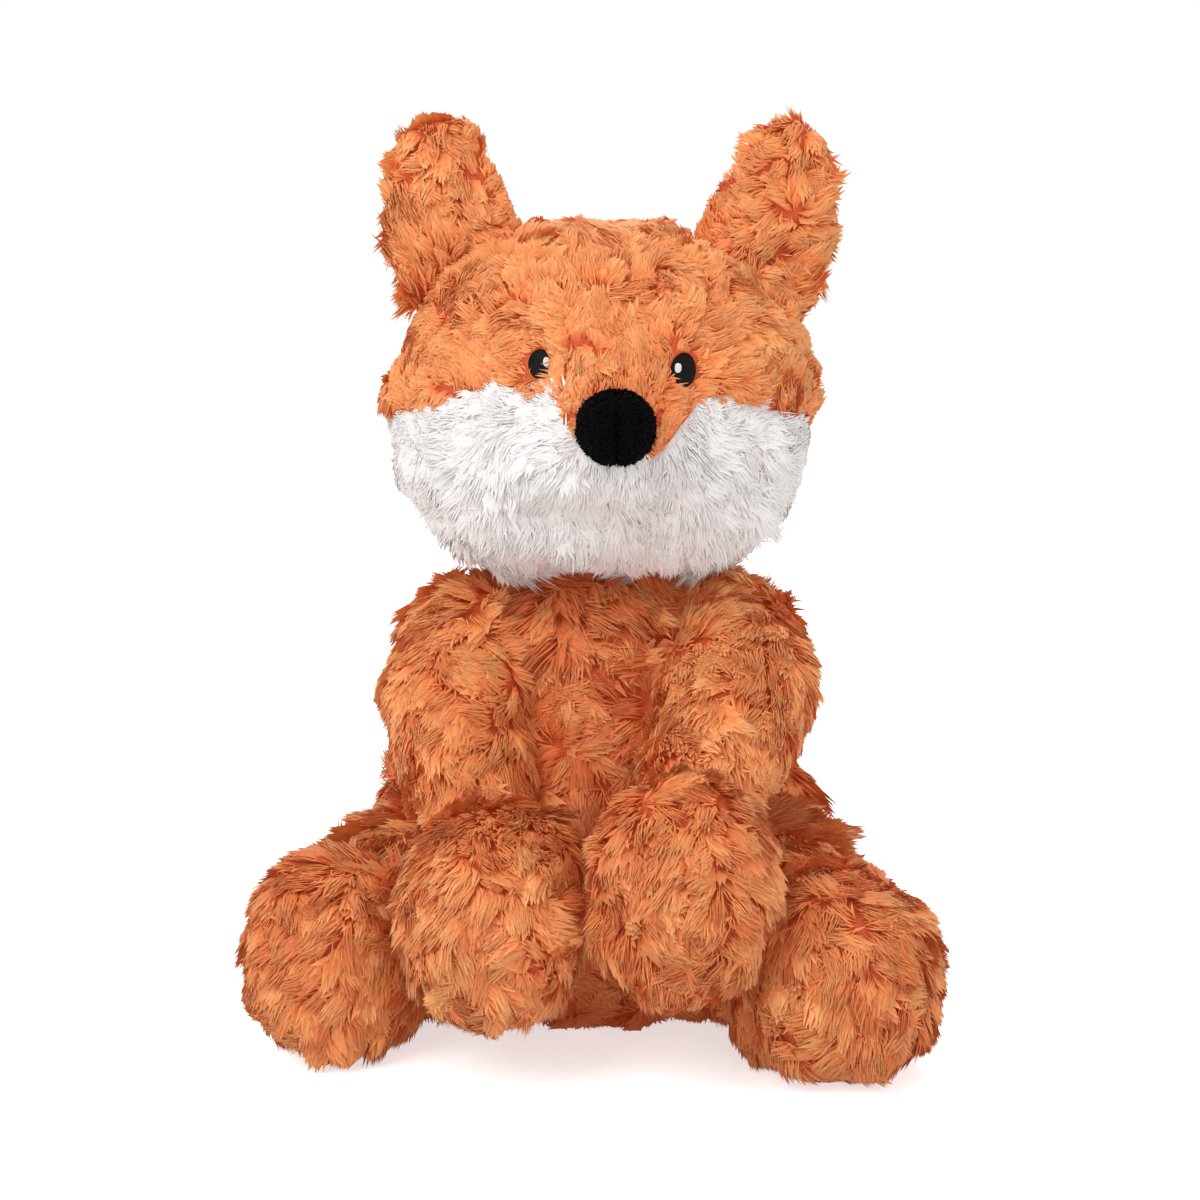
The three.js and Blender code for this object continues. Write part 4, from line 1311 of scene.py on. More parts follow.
@dataclass(frozen=True)
class Torso:
    """The body: a front and a back panel sewn at the sides, and the neck."""

    dressing: Dressing
    form: TorsoForm = TorsoForm()
    side_seam_back: float = 8 * MM
    haunch: float = 16 * MM
    haunch_height: Bell = Bell(75 * MM, 32 * MM)
    haunch_back: Ramp = Ramp(-22 * MM, 20 * MM)
    seat_share: float = 0.25
    seat_rise: float = 10 * MM
    collar_height: Ramp = Ramp(128 * MM, 22 * MM)
    collar_longer: float = 0.6
    hip_height: Bell = Bell(66 * MM, 26 * MM)
    hip_side: Ramp = Ramp(38.4 * MM, 16 * MM)
    hip_longer: float = 0.35
    neck_radius: float = 16.8 * MM
    neck_middle: tuple[float, float] = (0.0, -4 * MM)
    neck_profile: Knots = (
        (0, 149.5), (10, 149.5), (15, 150.5), (15.6, 153), (15.6, 160), (14.6, 162.4), (12.2, 163.4),
        (11.9, 165.5), (12.4, 167), (15.2, 171), (16.2, 177), (14.4, 184), (9, 190.6), (0, 193.4),
    )
    neck_pile_low: float = 163.2 * MM
    neck_pile_high: float = 169 * MM
    neck_pile: Pile = Pile(length=3 * MM, lift=7 * MM, swirl=0.4, tuft_spacing=4 * MM)
    # The torso's tufts carry the most painted shade, for the chest in the head's shadow.
    pile: Pile = Pile(
        spacing=0.89 * MM, tuft_spacing=5.6 * MM, length=10.5 * MM, lift=4.0 * MM, width=0.62 * MM,
        swirl=1.1, deep=1.0,
    )

    def build(self) -> None:
        """Makes the two panels and the neck."""
        surface = self.haunches(self.dressing.skin(self.form.at, 60, 96))
        middles = surface.middles()
        out = np.hypot(middles[:, 0] - self.neck_middle[0], middles[:, 1] - self.neck_middle[1])
        open_neck = (out < self.neck_radius) & (middles[:, 2] > self.form.height / 2)
        behind = middles[:, 1] > self.side_seam_back
        for word, keep, seed in (("front", ~behind, 11), ("back", behind, 12)):
            self.dressing.dress(
                "torso", f"torso_{word}", Slot.ORANGE, surface, keep & ~open_neck, self.pile,
                steady((0, 0, -1)), seed, trim=self.seat_trim,
            )
        self.build_neck()

    def haunches(self, surface: Surface) -> Surface:
        """The body pushed out low at its sides, by a bell over the height and a share of x."""
        points = surface.points.copy()
        side = points[:, 0] / (self.form.width / 2)
        low = self.haunch_height.at(points[:, 2]) * self.haunch_back.at(points[:, 1])
        points[:, 0] += self.haunch * side * np.abs(side) * low
        return surface.moved(points)

    def seat_trim(self, points: Floats) -> Floats:
        """Pile lies short under the seat, and is longer round the neck and on the hips."""
        x, _, z = points.T
        share = np.clip(self.seat_share + z / self.seat_rise, self.seat_share, 1)
        share = share + self.collar_height.at(z) * self.collar_longer
        return share + self.hip_height.at(z) * self.hip_side.at(np.abs(x)) * self.hip_longer

    def build_neck(self) -> None:
        """The neck: a spool of furred cloth, its ball in the head and its foot in the torso.

        It is turned about an upright axis from a profile of radii and heights in millimetres.
        """
        spline = Spline(self.neck_profile)

        def ring(share: Floats, angle: Floats) -> Floats:
            """Points of the spool: a circle of the profile's radius at the profile's height."""
            out, high = (values * MM for values in spline.at(share))
            out = np.maximum(out, 0)
            x, y = self.neck_middle
            return columns(x + out * np.cos(angle), y + out * np.sin(angle), high)

        surface = closed_grid(40, 40, ring)
        whole = np.ones(len(surface.faces), dtype=bool)
        roots = scatter_roots(surface, whole, self.neck_pile.spacing, np.random.default_rng(13))
        high = roots.points[:, 2]
        roots = roots.chosen((high > self.neck_pile_low) & (high < self.neck_pile_high))
        locks = self.neck_pile.grow(roots, steady((0, 0, -1)), 13)
        piece = furred_piece("neck_spool", surface, locks, self.dressing.finishes.of(Slot.ORANGE))
        declare(piece, "neck", "neck_core", Slot.ORANGE)


@dataclass(frozen=True)
class NeckThread:
    """The hand-sewn thread round the neck: two plies twisted about a ring."""

    finishes: Finishes
    ring_radius: float = 13.35 * MM
    height: float = 163.85 * MM
    forward: float = 4 * MM
    ply_radius: float = 0.29 * MM
    twists: int = 30

    def build(self) -> None:
        """Makes each ply as a tube whose middle line winds round the ring."""
        around = np.arange(480) / 480 * TURN
        surfaces = []
        for ply in range(2):
            wind = around * self.twists + ply * math.pi
            out = self.ring_radius + np.cos(wind) * self.ply_radius
            high = self.height + np.sin(wind) * self.ply_radius
            line = columns(out * np.cos(around), out * np.sin(around) - self.forward, high)
            surfaces.append(closed_tube(line, self.ply_radius, 6))
        both = joined(surfaces)
        piece = make_piece("neck_closing_thread", both, self.finishes.of(Slot.ORANGE_THREAD))
        declare(piece, "neck", "neck_thread", Slot.ORANGE_THREAD)


def joined(surfaces: list[Surface]) -> Surface:
    """Several surfaces as one, each with its own column of the bake map."""
    starts = np.cumsum([0] + [len(surface.points) for surface in surfaces])
    share = 1 / len(surfaces)
    return Surface(
        np.concatenate([surface.points for surface in surfaces]),
        np.concatenate([surface.faces + start for surface, start in zip(surfaces, starts)]),
        np.concatenate([
            surface.corners * [share * 0.98, 1] + [share * index, 0] for index, surface in enumerate(surfaces)
        ]),
    )


def closed_tube(line: Floats, radius: float, sides: int) -> Surface:
    """A tube along a line that closes on itself.

    Each ring stands square to the line, its first side away from the line's middle.

    Args:
        line: Places along the middle line, (n, 3), the first not repeated.
        radius: Of the tube.
        sides: Points round it.

    Returns:
        The tube.
    """
    count = len(line)
    along = unit(np.roll(line, -1, axis=0) - np.roll(line, 1, axis=0))
    away = line - line.mean(axis=0)
    side = unit(away - (away * along).sum(axis=1, keepdims=True) * along)
    over = np.cross(along, side)
    angle = np.arange(sides) / sides * TURN
    ring = np.cos(angle)[:, None] * side[:, None] + np.sin(angle)[:, None] * over[:, None]
    points = (line[:, None] + ring * radius).reshape(-1, 3)
    row, column = (grid.ravel() for grid in np.meshgrid(np.arange(count), np.arange(sides), indexing="ij"))
    next_row, next_column = (row + 1) % count, (column + 1) % sides
    low, low_next = row * sides + column, row * sides + next_column
    high, high_next = next_row * sides + column, next_row * sides + next_column
    faces = np.concatenate([columns(low, low_next, high_next), columns(low, high_next, high)])
    left, right = column / sides, (column + 1) / sides
    bottom, top = row / count, (row + 1) / count
    corners = np.concatenate([
        columns(left, bottom, right, bottom, right, top), columns(left, bottom, right, top, left, top)
    ])
    return Surface(points, faces, corners.reshape(-1, 3, 2))


@dataclass(frozen=True)
class Head:
    """The head's skin: two white cheeks, two orange sides and the crown gusset."""

    dressing: Dressing
    form: HeadForm = HeadForm()
    cheek_outline: Knots = (
        (0, -0.1), (0.1, -0.1), (0.17, -0.07), (0.21, 0.04), (0.28, 0.2), (0.35, 0.15), (0.48, 0.19),
        (0.77, 0.06), (1.04, -0.12), (1.3, -0.19),
    )
    left_cheek: Ramp = Ramp(40 * MM, 25 * MM)
    left_cheek_higher: float = 3 * MM
    left_peak: Bell = Bell(19 * MM, 7 * MM)
    left_peak_lower: float = 14 * MM
    cheek_back: float = 12 * MM
    gusset_width: float = 30 * MM
    eye_width: float = 9.6 * MM
    eye_height: float = 11.4 * MM
    eye_spread: float = 48.5 * MM
    eye_rise: float = 19 * MM
    eye_forward: float = 62 * MM
    eye_parting: float = 7 * MM
    eye_parting_share: float = 1.4
    eye_bare: float = 0.95
    eye_reach: float = 2.0
    eye_short: float = 0.48
    eye_growth: float = 0.42
    white_edge_short: float = 0.42
    white_edge_fade: float = 24 * MM
    orange_edge_short: float = 0.5
    orange_edge_fade: float = 9 * MM
    nose_aside: float = 1.2 * MM
    nose_rise: float = 2 * MM
    nose_bare_radius: float = 10 * MM
    nose_reach: float = 1.8
    nose_short: float = 0.45
    nose_growth: float = 0.5
    parting_place: Triple = (0, -78 * MM, 4 * MM)
    hang_from: float = 10 * MM
    hang_length: float = 40 * MM
    mouth_depth: float = 2.6 * MM
    mouth: Bell = Bell(0.0, 4.5 * MM)
    mouth_top: Ramp = Ramp(10 * MM, 8 * MM)
    mouth_foot: Ramp = Ramp(-54 * MM, 10 * MM)
    side_dent: float = 3 * MM
    side_dent_out: Ramp = Ramp(40 * MM, 20 * MM)
    side_dent_height: Bell = Bell(22 * MM, 22 * MM)
    side_short: float = 0.5
    side_short_out: Ramp = Ramp(48 * MM, 12 * MM)
    side_short_height: Bell = Bell(22 * MM, 20 * MM)
    jaw_short_height: Bell = Bell(-16 * MM, 13 * MM)
    left_jaw_short: float = 0.1
    right_jaw_short: float = 0.4
    jaw_longer: float = 0.9
    jaw_longer_down: Ramp = Ramp(16 * MM, 40 * MM)
    jaw_longer_out: Ramp = Ramp(8 * MM, 40 * MM)
    pocket_radius: float = 17 * MM
    pocket_back: float = 6 * MM
    pocket_height: float = -40 * MM
    orange_pile: Pile = Pile(
        spacing=0.7 * MM, tuft_spacing=4.0 * MM, length=7.8 * MM, lift=3.0 * MM, width=0.46 * MM, pull=0.45,
    )
    white_pile: Pile = Pile(
        spacing=0.68 * MM, tuft_spacing=3.6 * MM, length=11 * MM, lift=2.9 * MM, width=0.44 * MM,
        pull=0.35, swirl=0.4, wave=0.9 * MM, uneven=0.2, soft=1.6, rounding=0.2,
    )

    def build(self) -> None:
        """Makes the five panels."""
        own = closed_grid(76, 120, lambda share, angle: self.form.at(share, angle, self.dressing.sink))
        points = self.groove(own.points)
        surface = self.dressing.lumpy(own.moved(self.form.place.out(points)))
        middles = self.form.place.back(surface.middles())
        x, y, z = middles.T
        top = self.white_edge(x)
        white = (z < top) & (y < self.cheek_back)
        open_neck = (np.hypot(x, y - self.pocket_back) < self.pocket_radius) & (z < self.pocket_height)
        beyond = np.abs(x) > self.gusset_width / 2
        for side in Side:
            here = x * side.value > 0
            self.panel(f"cheek_{side.word}", Slot.WHITE, surface, white & here & ~open_neck, 20 + side.value)
            self.panel(
                f"head_side_{side.word}", Slot.ORANGE, surface, ~white & here & beyond & ~open_neck,
                24 + side.value,
            )
        self.panel("crown_gusset", Slot.ORANGE, surface, ~white & ~beyond & ~open_neck, 27)

    def white_edge(self, x: Floats) -> Floats:
        """The height of the white panels' upper edge at places across the face.

        On the toy's left the peak beside the nose is lower, and the edge rises beyond the cheek.
        """
        table = np.array(self.cheek_outline)
        edge = np.interp(np.abs(x), table[:, 0] * self.form.width / 2, table[:, 1] * self.form.height / 2)
        edge = edge + self.left_cheek.at(x) * self.left_cheek_higher
        return edge - self.left_peak_lower * self.left_peak.at(x)

    def groove(self, points: Floats) -> Floats:
        """The face with a shallow groove from under the nose to the chin, and its right side dented.

        Args:
            points: Of the head, in its own axes.

        Returns:
            The points, moved back in the groove and inwards in the dent.
        """
        x, y, z = points.T
        down = self.mouth_top.at(-z) * self.mouth_foot.at(z)
        depth = np.where(y < 0, self.mouth_depth * self.mouth.at(x) * down, 0)
        beside = self.side_dent_out.at(-x) * self.side_dent_height.at(z)
        return columns(x + beside * self.side_dent, y + depth, z)

    def panel(self, node: str, slot: Slot, surface: Surface, keep: Bools, seed: int) -> None:
        """One panel with its pile, longer on the cheeks."""
        pile = self.white_pile if slot is Slot.WHITE else self.orange_pile
        self.dressing.dress("head", node, slot, surface, keep, pile, self.flow, seed, trim=self.face_trim)

    def flow(self, points: Floats, normals: Floats) -> Floats:
        """The pile lies away from the nose and the eyes, and hangs under its own weight."""
        own = self.form.place.back(points)
        away = unit(own - np.array(self.parting_place))
        low = np.clip((self.hang_from - own[:, 2]) / self.hang_length, 0, 0.9)
        hang = np.array([0, 0, -1.0]) * low[:, None]
        clear = np.zeros_like(own)
        for side in Side:
            eye = np.array([side.value * self.eye_spread / 2, -self.eye_forward, self.eye_rise])
            apart = own - eye
            near = np.exp(-((apart**2).sum(axis=1)) / self.eye_parting**2)
            clear += unit(apart) * near[:, None] * self.eye_parting_share
        return self.form.place.turn_out(away + hang + clear)

    def face_trim(self, points: Floats) -> Floats:
        """No pile grows under the eyes and the nose, and it is short round them and at the white edge.

        It is shorter at the right temple and on the jaw's sides, and longer under the jaw.
        """
        x, y, z = self.form.place.back(points).T
        size = np.ones(len(x))
        for side in Side:
            across = (x - side.value * self.eye_spread / 2) / (self.eye_width / 2)
            up = (z - self.eye_rise) / (self.eye_height / 2)
            out = np.hypot(across, up)
            close = np.minimum(size, self.eye_short + self.eye_growth * (out - 1))
            size = np.where((out < self.eye_reach) & (y < 0), close, size)
            size = np.where((out < self.eye_bare) & (y < 0), 0, size)
        under = self.white_edge(x) - z
        below = self.white_edge_short + under / self.white_edge_fade
        above = self.orange_edge_short - under / self.orange_edge_fade
        close = np.where(under > 0, below, above)
        size = np.where(y < 0, np.minimum(size, close), size)
        wide = np.abs(x)
        size = size + self.jaw_longer_down.at(-z) * self.jaw_longer_out.at(wide) * self.jaw_longer
        jaw = self.side_short_out.at(wide) * self.jaw_short_height.at(z)
        size = size * (1 - jaw * np.where(x < 0, self.right_jaw_short, self.left_jaw_short))
        beside = self.side_short_out.at(-x) * self.side_short_height.at(z)
        size = size * (1 - beside * self.side_short)
        out = np.hypot(x - self.nose_aside, z - self.nose_rise) / self.nose_bare_radius
        close = self.nose_short + self.nose_growth * (out - 1) / (self.nose_reach - 1)
        size = np.where((out < self.nose_reach) & (y < 0), np.minimum(size, close), size)
        return np.where((out < 1) & (y < 0), 0, size)


@dataclass(frozen=True)
class Eye:
    """A satin-stitched oval with a stitched glint near its inner edge."""

    finishes: Finishes
    head: HeadForm
    side: Side
    width: float = 9.4 * MM
    height: float = 11.6 * MM
    spread: float = 48.5 * MM
    rise: float = 19 * MM
    thread: float = 0.42 * MM
    thread_ridge: float = 0.06 * MM
    stitch_slant: float = 0.25
    base: float = 0.3 * MM
    crown: float = 1.5 * MM
    edge: float = 1.0 * MM
    glint_crown: float = 0.7 * MM
    glint_square: float = 0.8
    glint_ridge: float = 0.05 * MM
    glint_sunk_share: float = 0.85
    glint_width: float = 2.6 * MM
    glint_height: float = 3.3 * MM
    glint_inward: float = 1.7 * MM
    glint_rise: float = 0.9 * MM

    def build(self) -> None:
        """Makes the oval and its glint, both sewn across."""
        middle = self.side.value * self.spread / 2
        oval = self.patch(
            middle, self.rise, self.width, self.height, self.base, self.crown, 1.0, self.thread_ridge
        )
        word = self.side.word
        piece = make_piece(f"eye_{word}_stitch", oval, self.finishes.of(Slot.BLACK_THREAD))
        declare(piece, "head", f"eye_{word}", Slot.BLACK_THREAD)
        inner = middle - self.side.value * self.glint_inward
        high = self.rise + self.glint_rise
        glint = self.patch(
            inner, high, self.glint_width, self.glint_height,
            self.crown + self.edge * self.glint_sunk_share, self.glint_crown, self.glint_square,
            self.glint_ridge,
        )
        piece = make_piece(f"eye_glint_{word}_stitch", glint, self.finishes.of(Slot.WHITE_THREAD))
        declare(piece, "head", f"eye_glint_{word}", Slot.WHITE_THREAD)

    def patch(
        self, x: float, z: float, width: float, height: float, base: float, crown: float,
        square: float, ridge: float,
    ) -> Surface:
        """A low pad of stitches on the face, its front raised by the edge and a dome.

        The dome is the crown times the square root of one minus the squared radius. A cosine across
        the stitches gives each thread its ridge.

        Args:
            x: The middle, sideways.
            z: The middle, upwards.
            width: Of the pad.
            height: Of the pad.
            base: How far its back lies off the head.
            crown: The dome's height.
            square: The power of the outline's sine and cosine, 1 for an oval.
            ridge: The height of a thread's ridge.

        Returns:
            The pad, closed.
        """
        def form(share: Floats, angle: Floats) -> Floats:
            """Points of the pad: the back out to its edge, then the front in to its middle."""
            front = share > 0.5
            radius = np.where(front, 1 - (share - 0.5) * 2, share * 2)
            radius = np.where(front, np.sin(radius * math.pi / 2), radius)
            own_x = x + radius * width / 2 * signed_power(np.cos(angle), square)
            own_z = z + radius * height / 2 * signed_power(np.sin(angle), square)
            dome = np.sqrt(np.clip(1 - radius**2, 0, 1)) * crown
            dome = dome + self.edge * (1 - radius**12) * (crown > self.glint_crown)
            slant = own_z + own_x * self.stitch_slant
            ripple = np.cos(slant / self.thread * TURN) * ridge * (1 - radius**8)
            stand = base + np.where(front, dome + ripple, 0)
            own_y = self.head.front_at(own_x, own_z, 0.0) - stand
            return self.head.place.out(columns(own_x, own_y, own_z))

        return closed_grid(96, 72, form)


@dataclass(frozen=True)
class Nose:
    """A padded ball of short-nap cloth, gathered along a seam down its front."""

    finishes: Finishes
    head: HeadForm
    width: float = 25.4 * MM
    depth: float = 22.5 * MM
    height: float = 24.6 * MM
    aside: float = 1.2 * MM
    rise: float = 1.2 * MM
    stand_off: float = 5.5 * MM
    seam_depth: float = 2.4 * MM
    seam_half_width: float = 1.3 * MM
    seam_slant: float = 0.4 * MM
    pucker: float = 0.16 * MM
    pucker_half_width: float = 4 * MM
    pucker_length: float = 1.7 * MM
    cloth: float = 1.2 * MM
    sunk: float = 0.5 * MM
    pile: Pile = Pile(
        spacing=0.5 * MM, tuft_spacing=1.5 * MM, length=1.5 * MM, lift=1.0 * MM, width=0.42 * MM,
        pull=0.4, swirl=1.2, swirl_length=9 * MM, wave=0.1 * MM,
    )

    def at(self, share: Floats, angle: Floats) -> Floats:
        """Points of the ball in the head's axes: an oval with a seam groove and faint puckers by it."""
        tilt = (share - 0.5) * math.pi
        x = np.cos(tilt) * np.cos(angle)
        y = np.cos(tilt) * np.sin(angle)
        z = np.sin(tilt)
        offset = x * self.width / 2 + z * self.seam_slant
        seam = Bell(0, self.seam_half_width).at(offset) * (y < 0.1)
        beside = Bell(0, self.pucker_half_width).at(offset) * (y < 0.1)
        ripple = np.cos(z * self.height / 2 / self.pucker_length * TURN) * self.pucker * beside * (1 - seam)
        size = 1 - (seam * self.seam_depth - ripple) / (self.width / 2)
        back = self.head.depth / 2 + float(self.head.muzzle(np.array(0.0), np.array(self.rise)))
        return self.head.place.out(columns(
            x * size * self.width / 2 + self.aside,
            y * size * self.depth / 2 - back - self.stand_off,
            z * size * self.height / 2 + self.rise,
        ))

    def build(self) -> None:
        """Makes the cover with its short nap."""
        surface = closed_grid(120, 150, self.at)
        own = self.head.place.back(surface.middles())
        keep = own[:, 1] < self.head.front_at(own[:, 0], own[:, 2], 0.0) + self.sunk
        roots = scatter_roots(surface, keep, self.pile.spacing, np.random.default_rng(41))
        locks = self.pile.grow(roots, steady((0.2, 0, -1)), 41)
        skin = cloth_shell(surface, keep, self.cloth)
        piece = furred_piece("nose_nap", skin, locks, self.finishes.of(Slot.NOSE))
        declare(piece, "head", "nose_cover", Slot.NOSE)


@dataclass(frozen=True)
class Ear:
    """An upright ear: a front and a back panel, sewn into the side of the crown."""

    dressing: Dressing
    head: HeadForm
    side: Side
    width: float
    length: float
    lean: float
    thickness: float = 13 * MM
    root_depth: float = 16 * MM
    place_shares: Triple = (0.74, 0.13, 0.78)
    root_share: float = 0.55
    outer_longer: float = 0.35
    inner_shorter: float = 0.2
    tip_shorter: float = 0.22
    tip_from_share: float = 0.55
    tip_length_share: float = 0.4
    flow_out: float = 0.9
    flow_up: float = 0.35
    profile: Spline = Spline((
        (0, 0), (0.82, 0.03), (1.08, 0.16), (1.18, 0.36), (1.08, 0.56), (0.84, 0.76), (0.6, 0.93), (0, 1),
    ))
    pile: Pile = Pile(length=8.0 * MM, lift=3.6 * MM, uneven=0.25)

    @property
    def place(self) -> Place:
        """The ear's own axes: it stands on its root, turned out by its lean, on the tilted head."""
        root = np.array(self.place_shares) * self.head.halves * [self.side.value, 1, 1]
        lean = turned_about("Y", self.side.value * self.lean)
        return Place(self.head.place.turn @ lean, self.head.place.out(root))

    def at(self, share: Floats, angle: Floats) -> Floats:
        """Points of the leaf: an oval ring of the profile's width that thins towards the tip."""
        across, rise = self.profile.at(share)
        across = np.maximum(across, 0)
        thin = 1 - (1 - self.root_share) * rise
        x = across * (self.width / 2 + self.dressing.sink) * np.cos(angle)
        y = across * (self.thickness / 2 * thin + self.dressing.sink) * np.sin(angle)
        z = rise * (self.length + self.root_depth) - self.root_depth
        return self.place.out(columns(x, y, z))

    def build(self) -> None:
        """Makes the two panels, without what lies inside the head."""
        surface = self.dressing.lumpy(closed_grid(44, 56, self.at))
        middles = surface.middles()
        own = self.head.place.back(middles)
        half = self.head.halves + self.dressing.seam_in_body
        sunk = (np.abs(own / half) ** (2 / self.head.square)).sum(axis=1) < 1
        front = self.place.back(middles)[:, 1] < 0
        word = self.side.word
        for end, keep, seed in (("front", front, 50), ("back", ~front, 54)):
            self.dressing.dress(
                f"ear_{word}", f"ear_{word}_{end}", Slot.ORANGE, surface, keep & ~sunk, self.pile,
                self.flow, seed + self.side.value, 0.4, self.edge_trim,
            )

    def edge_trim(self, points: Floats) -> Floats:
        """Pile is short over the tip and the inner edge, and long low down on the outer edge."""
        x, _, z = self.place.back(points).T
        outer = x * self.side.value / (self.width / 2)
        tip = Ramp(self.tip_from_share * self.length, self.tip_length_share * self.length).at(z)
        share = 1 + self.outer_longer * outer * (1 - tip) - self.tip_shorter * tip
        return np.clip(share - self.inner_shorter * np.clip(-outer, 0, 1), 0.5, 1.3)

    def flow(self, points: Floats, normals: Floats) -> Floats:
        """The pile lies out towards the ear's edges and up to its tip."""
        own = self.place.back(points)
        out = own[:, 0] / (self.width / 2) * self.flow_out
        return self.place.turn_out(columns(out, 0, self.flow_up))


@dataclass(frozen=True)
class Arm:
    """An arm sewn to the shoulder, and the big round paw on its wrist."""

    dressing: Dressing
    side: Side
    torso: TorsoForm
    inward: float
    forward: float
    drop: float
    wrist_in: float
    radius: float = 23 * MM
    wrist_radius: float = 16 * MM
    top_in: float = 3 * MM
    top_up: float = 8 * MM
    shoulder_height: float = 128 * MM
    shoulder_forward: float = 14 * MM
    shoulder_spread: float = 99 * MM
    bow_out: float = 11 * MM
    bow_up: float = 9 * MM
    wrist_to_paw: float = 39 * MM
    wrist_back: float = 0.7
    paw_tilt: float = 24
    paw_size: Triple = (58 * MM, 59 * MM, 71 * MM)
    bare_in_paw: float = -3 * MM
    shoulder_top: Ramp = Ramp(142 * MM, 12 * MM)
    shoulder_longer: float = 0.2
    sleeve_along: float = 0.8
    sleeve_round: float = 0.25
    sleeve_down: float = 0.4
    paw_down: float = 0.5
    # The arm's and the paw's tufts carry painted shade, the arm's less.
    pile: Pile = Pile(tuft_spacing=5.4 * MM, length=10 * MM, lift=3.6 * MM, swirl=0.75, deep=0.35)
    paw_pile: Pile = Pile(tuft_spacing=5.6 * MM, length=10.5 * MM, lift=4.0 * MM, swirl=0.7, deep=0.7)

    @property
    def shoulder(self) -> Floats:
        """The middle of the shoulder's round end."""
        aside = self.side.value * self.shoulder_spread / 2
        return np.array([aside, -self.shoulder_forward, self.shoulder_height])

    @property
    def paw_middle(self) -> Floats:
        """The middle of the paw."""
        return self.shoulder - [self.side.value * self.inward, self.forward, self.drop]

    @property
    def wrist(self) -> Floats:
        """The middle of the wrist's round end, behind and above the paw's middle."""
        back = unit(np.array([self.side.value * self.wrist_in, self.wrist_back, self.wrist_back]))
        return self.paw_middle + back * self.wrist_to_paw

    @property
    def sleeve(self) -> LimbForm:
        """The arm's form."""
        bow = (self.shoulder + self.wrist) / 2 + [self.side.value * self.bow_out, 0, self.bow_up]
        top = self.shoulder + [-self.side.value * self.top_in, 0, self.top_up]
        return LimbForm(top, bow, self.wrist, self.radius, self.wrist_radius, 2, 0.12)

    @property
    def paw(self) -> BallForm:
        """The paw's form."""
        return BallForm(*self.paw_size, Place(turned_about("X", -self.paw_tilt), self.paw_middle))

    def build(self) -> None:
        """Makes the arm's skin and the paw's."""
        word, dressing = self.side.word, self.dressing
        sleeve, paw = self.sleeve, self.paw
        surface = dressing.skin(sleeve.at, 44, 52)
        keep = ~self.torso.holds(surface.middles(), dressing.seam_in_body)
        dressing.dress(
            f"arm_{word}", f"arm_{word}_skin", Slot.ORANGE, surface, keep,
            self.pile, self.sleeve_flow, 60 + self.side.value, trim=self.sleeve_trim,
        )
        surface = dressing.skin(paw.at, 44, 64)
        keep = ~sleeve.holds(surface.middles(), dressing.seam_in_limb)
        dressing.dress(
            f"paw_{word}", f"paw_{word}_skin", Slot.ORANGE, surface, keep,
            self.paw_pile, self.paw_flow, 64 + self.side.value,
        )

    def sleeve_trim(self, points: Floats) -> Floats:
        """The pile stands tall on top of the shoulder, and none grows inside the paw."""
        tall = 1 + self.shoulder_top.at(points[:, 2]) * self.shoulder_longer
        return np.where(self.paw.holds(points, self.bare_in_paw), 0, tall)

    def sleeve_flow(self, points: Floats, normals: Floats) -> Floats:
        """The pile lies round and down the arm and hangs a little."""
        along = self.sleeve.nearest_heading(points)
        around = np.cross(along, normals) * -self.sleeve_round * self.side.value
        return along * self.sleeve_along + around + np.array([0, 0, -self.sleeve_down])

    def paw_flow(self, points: Floats, normals: Floats) -> Floats:
        """The pile lies away from the wrist, over the paw and down."""
        return unit(points - self.wrist) + np.array([0, 0, -self.paw_down])


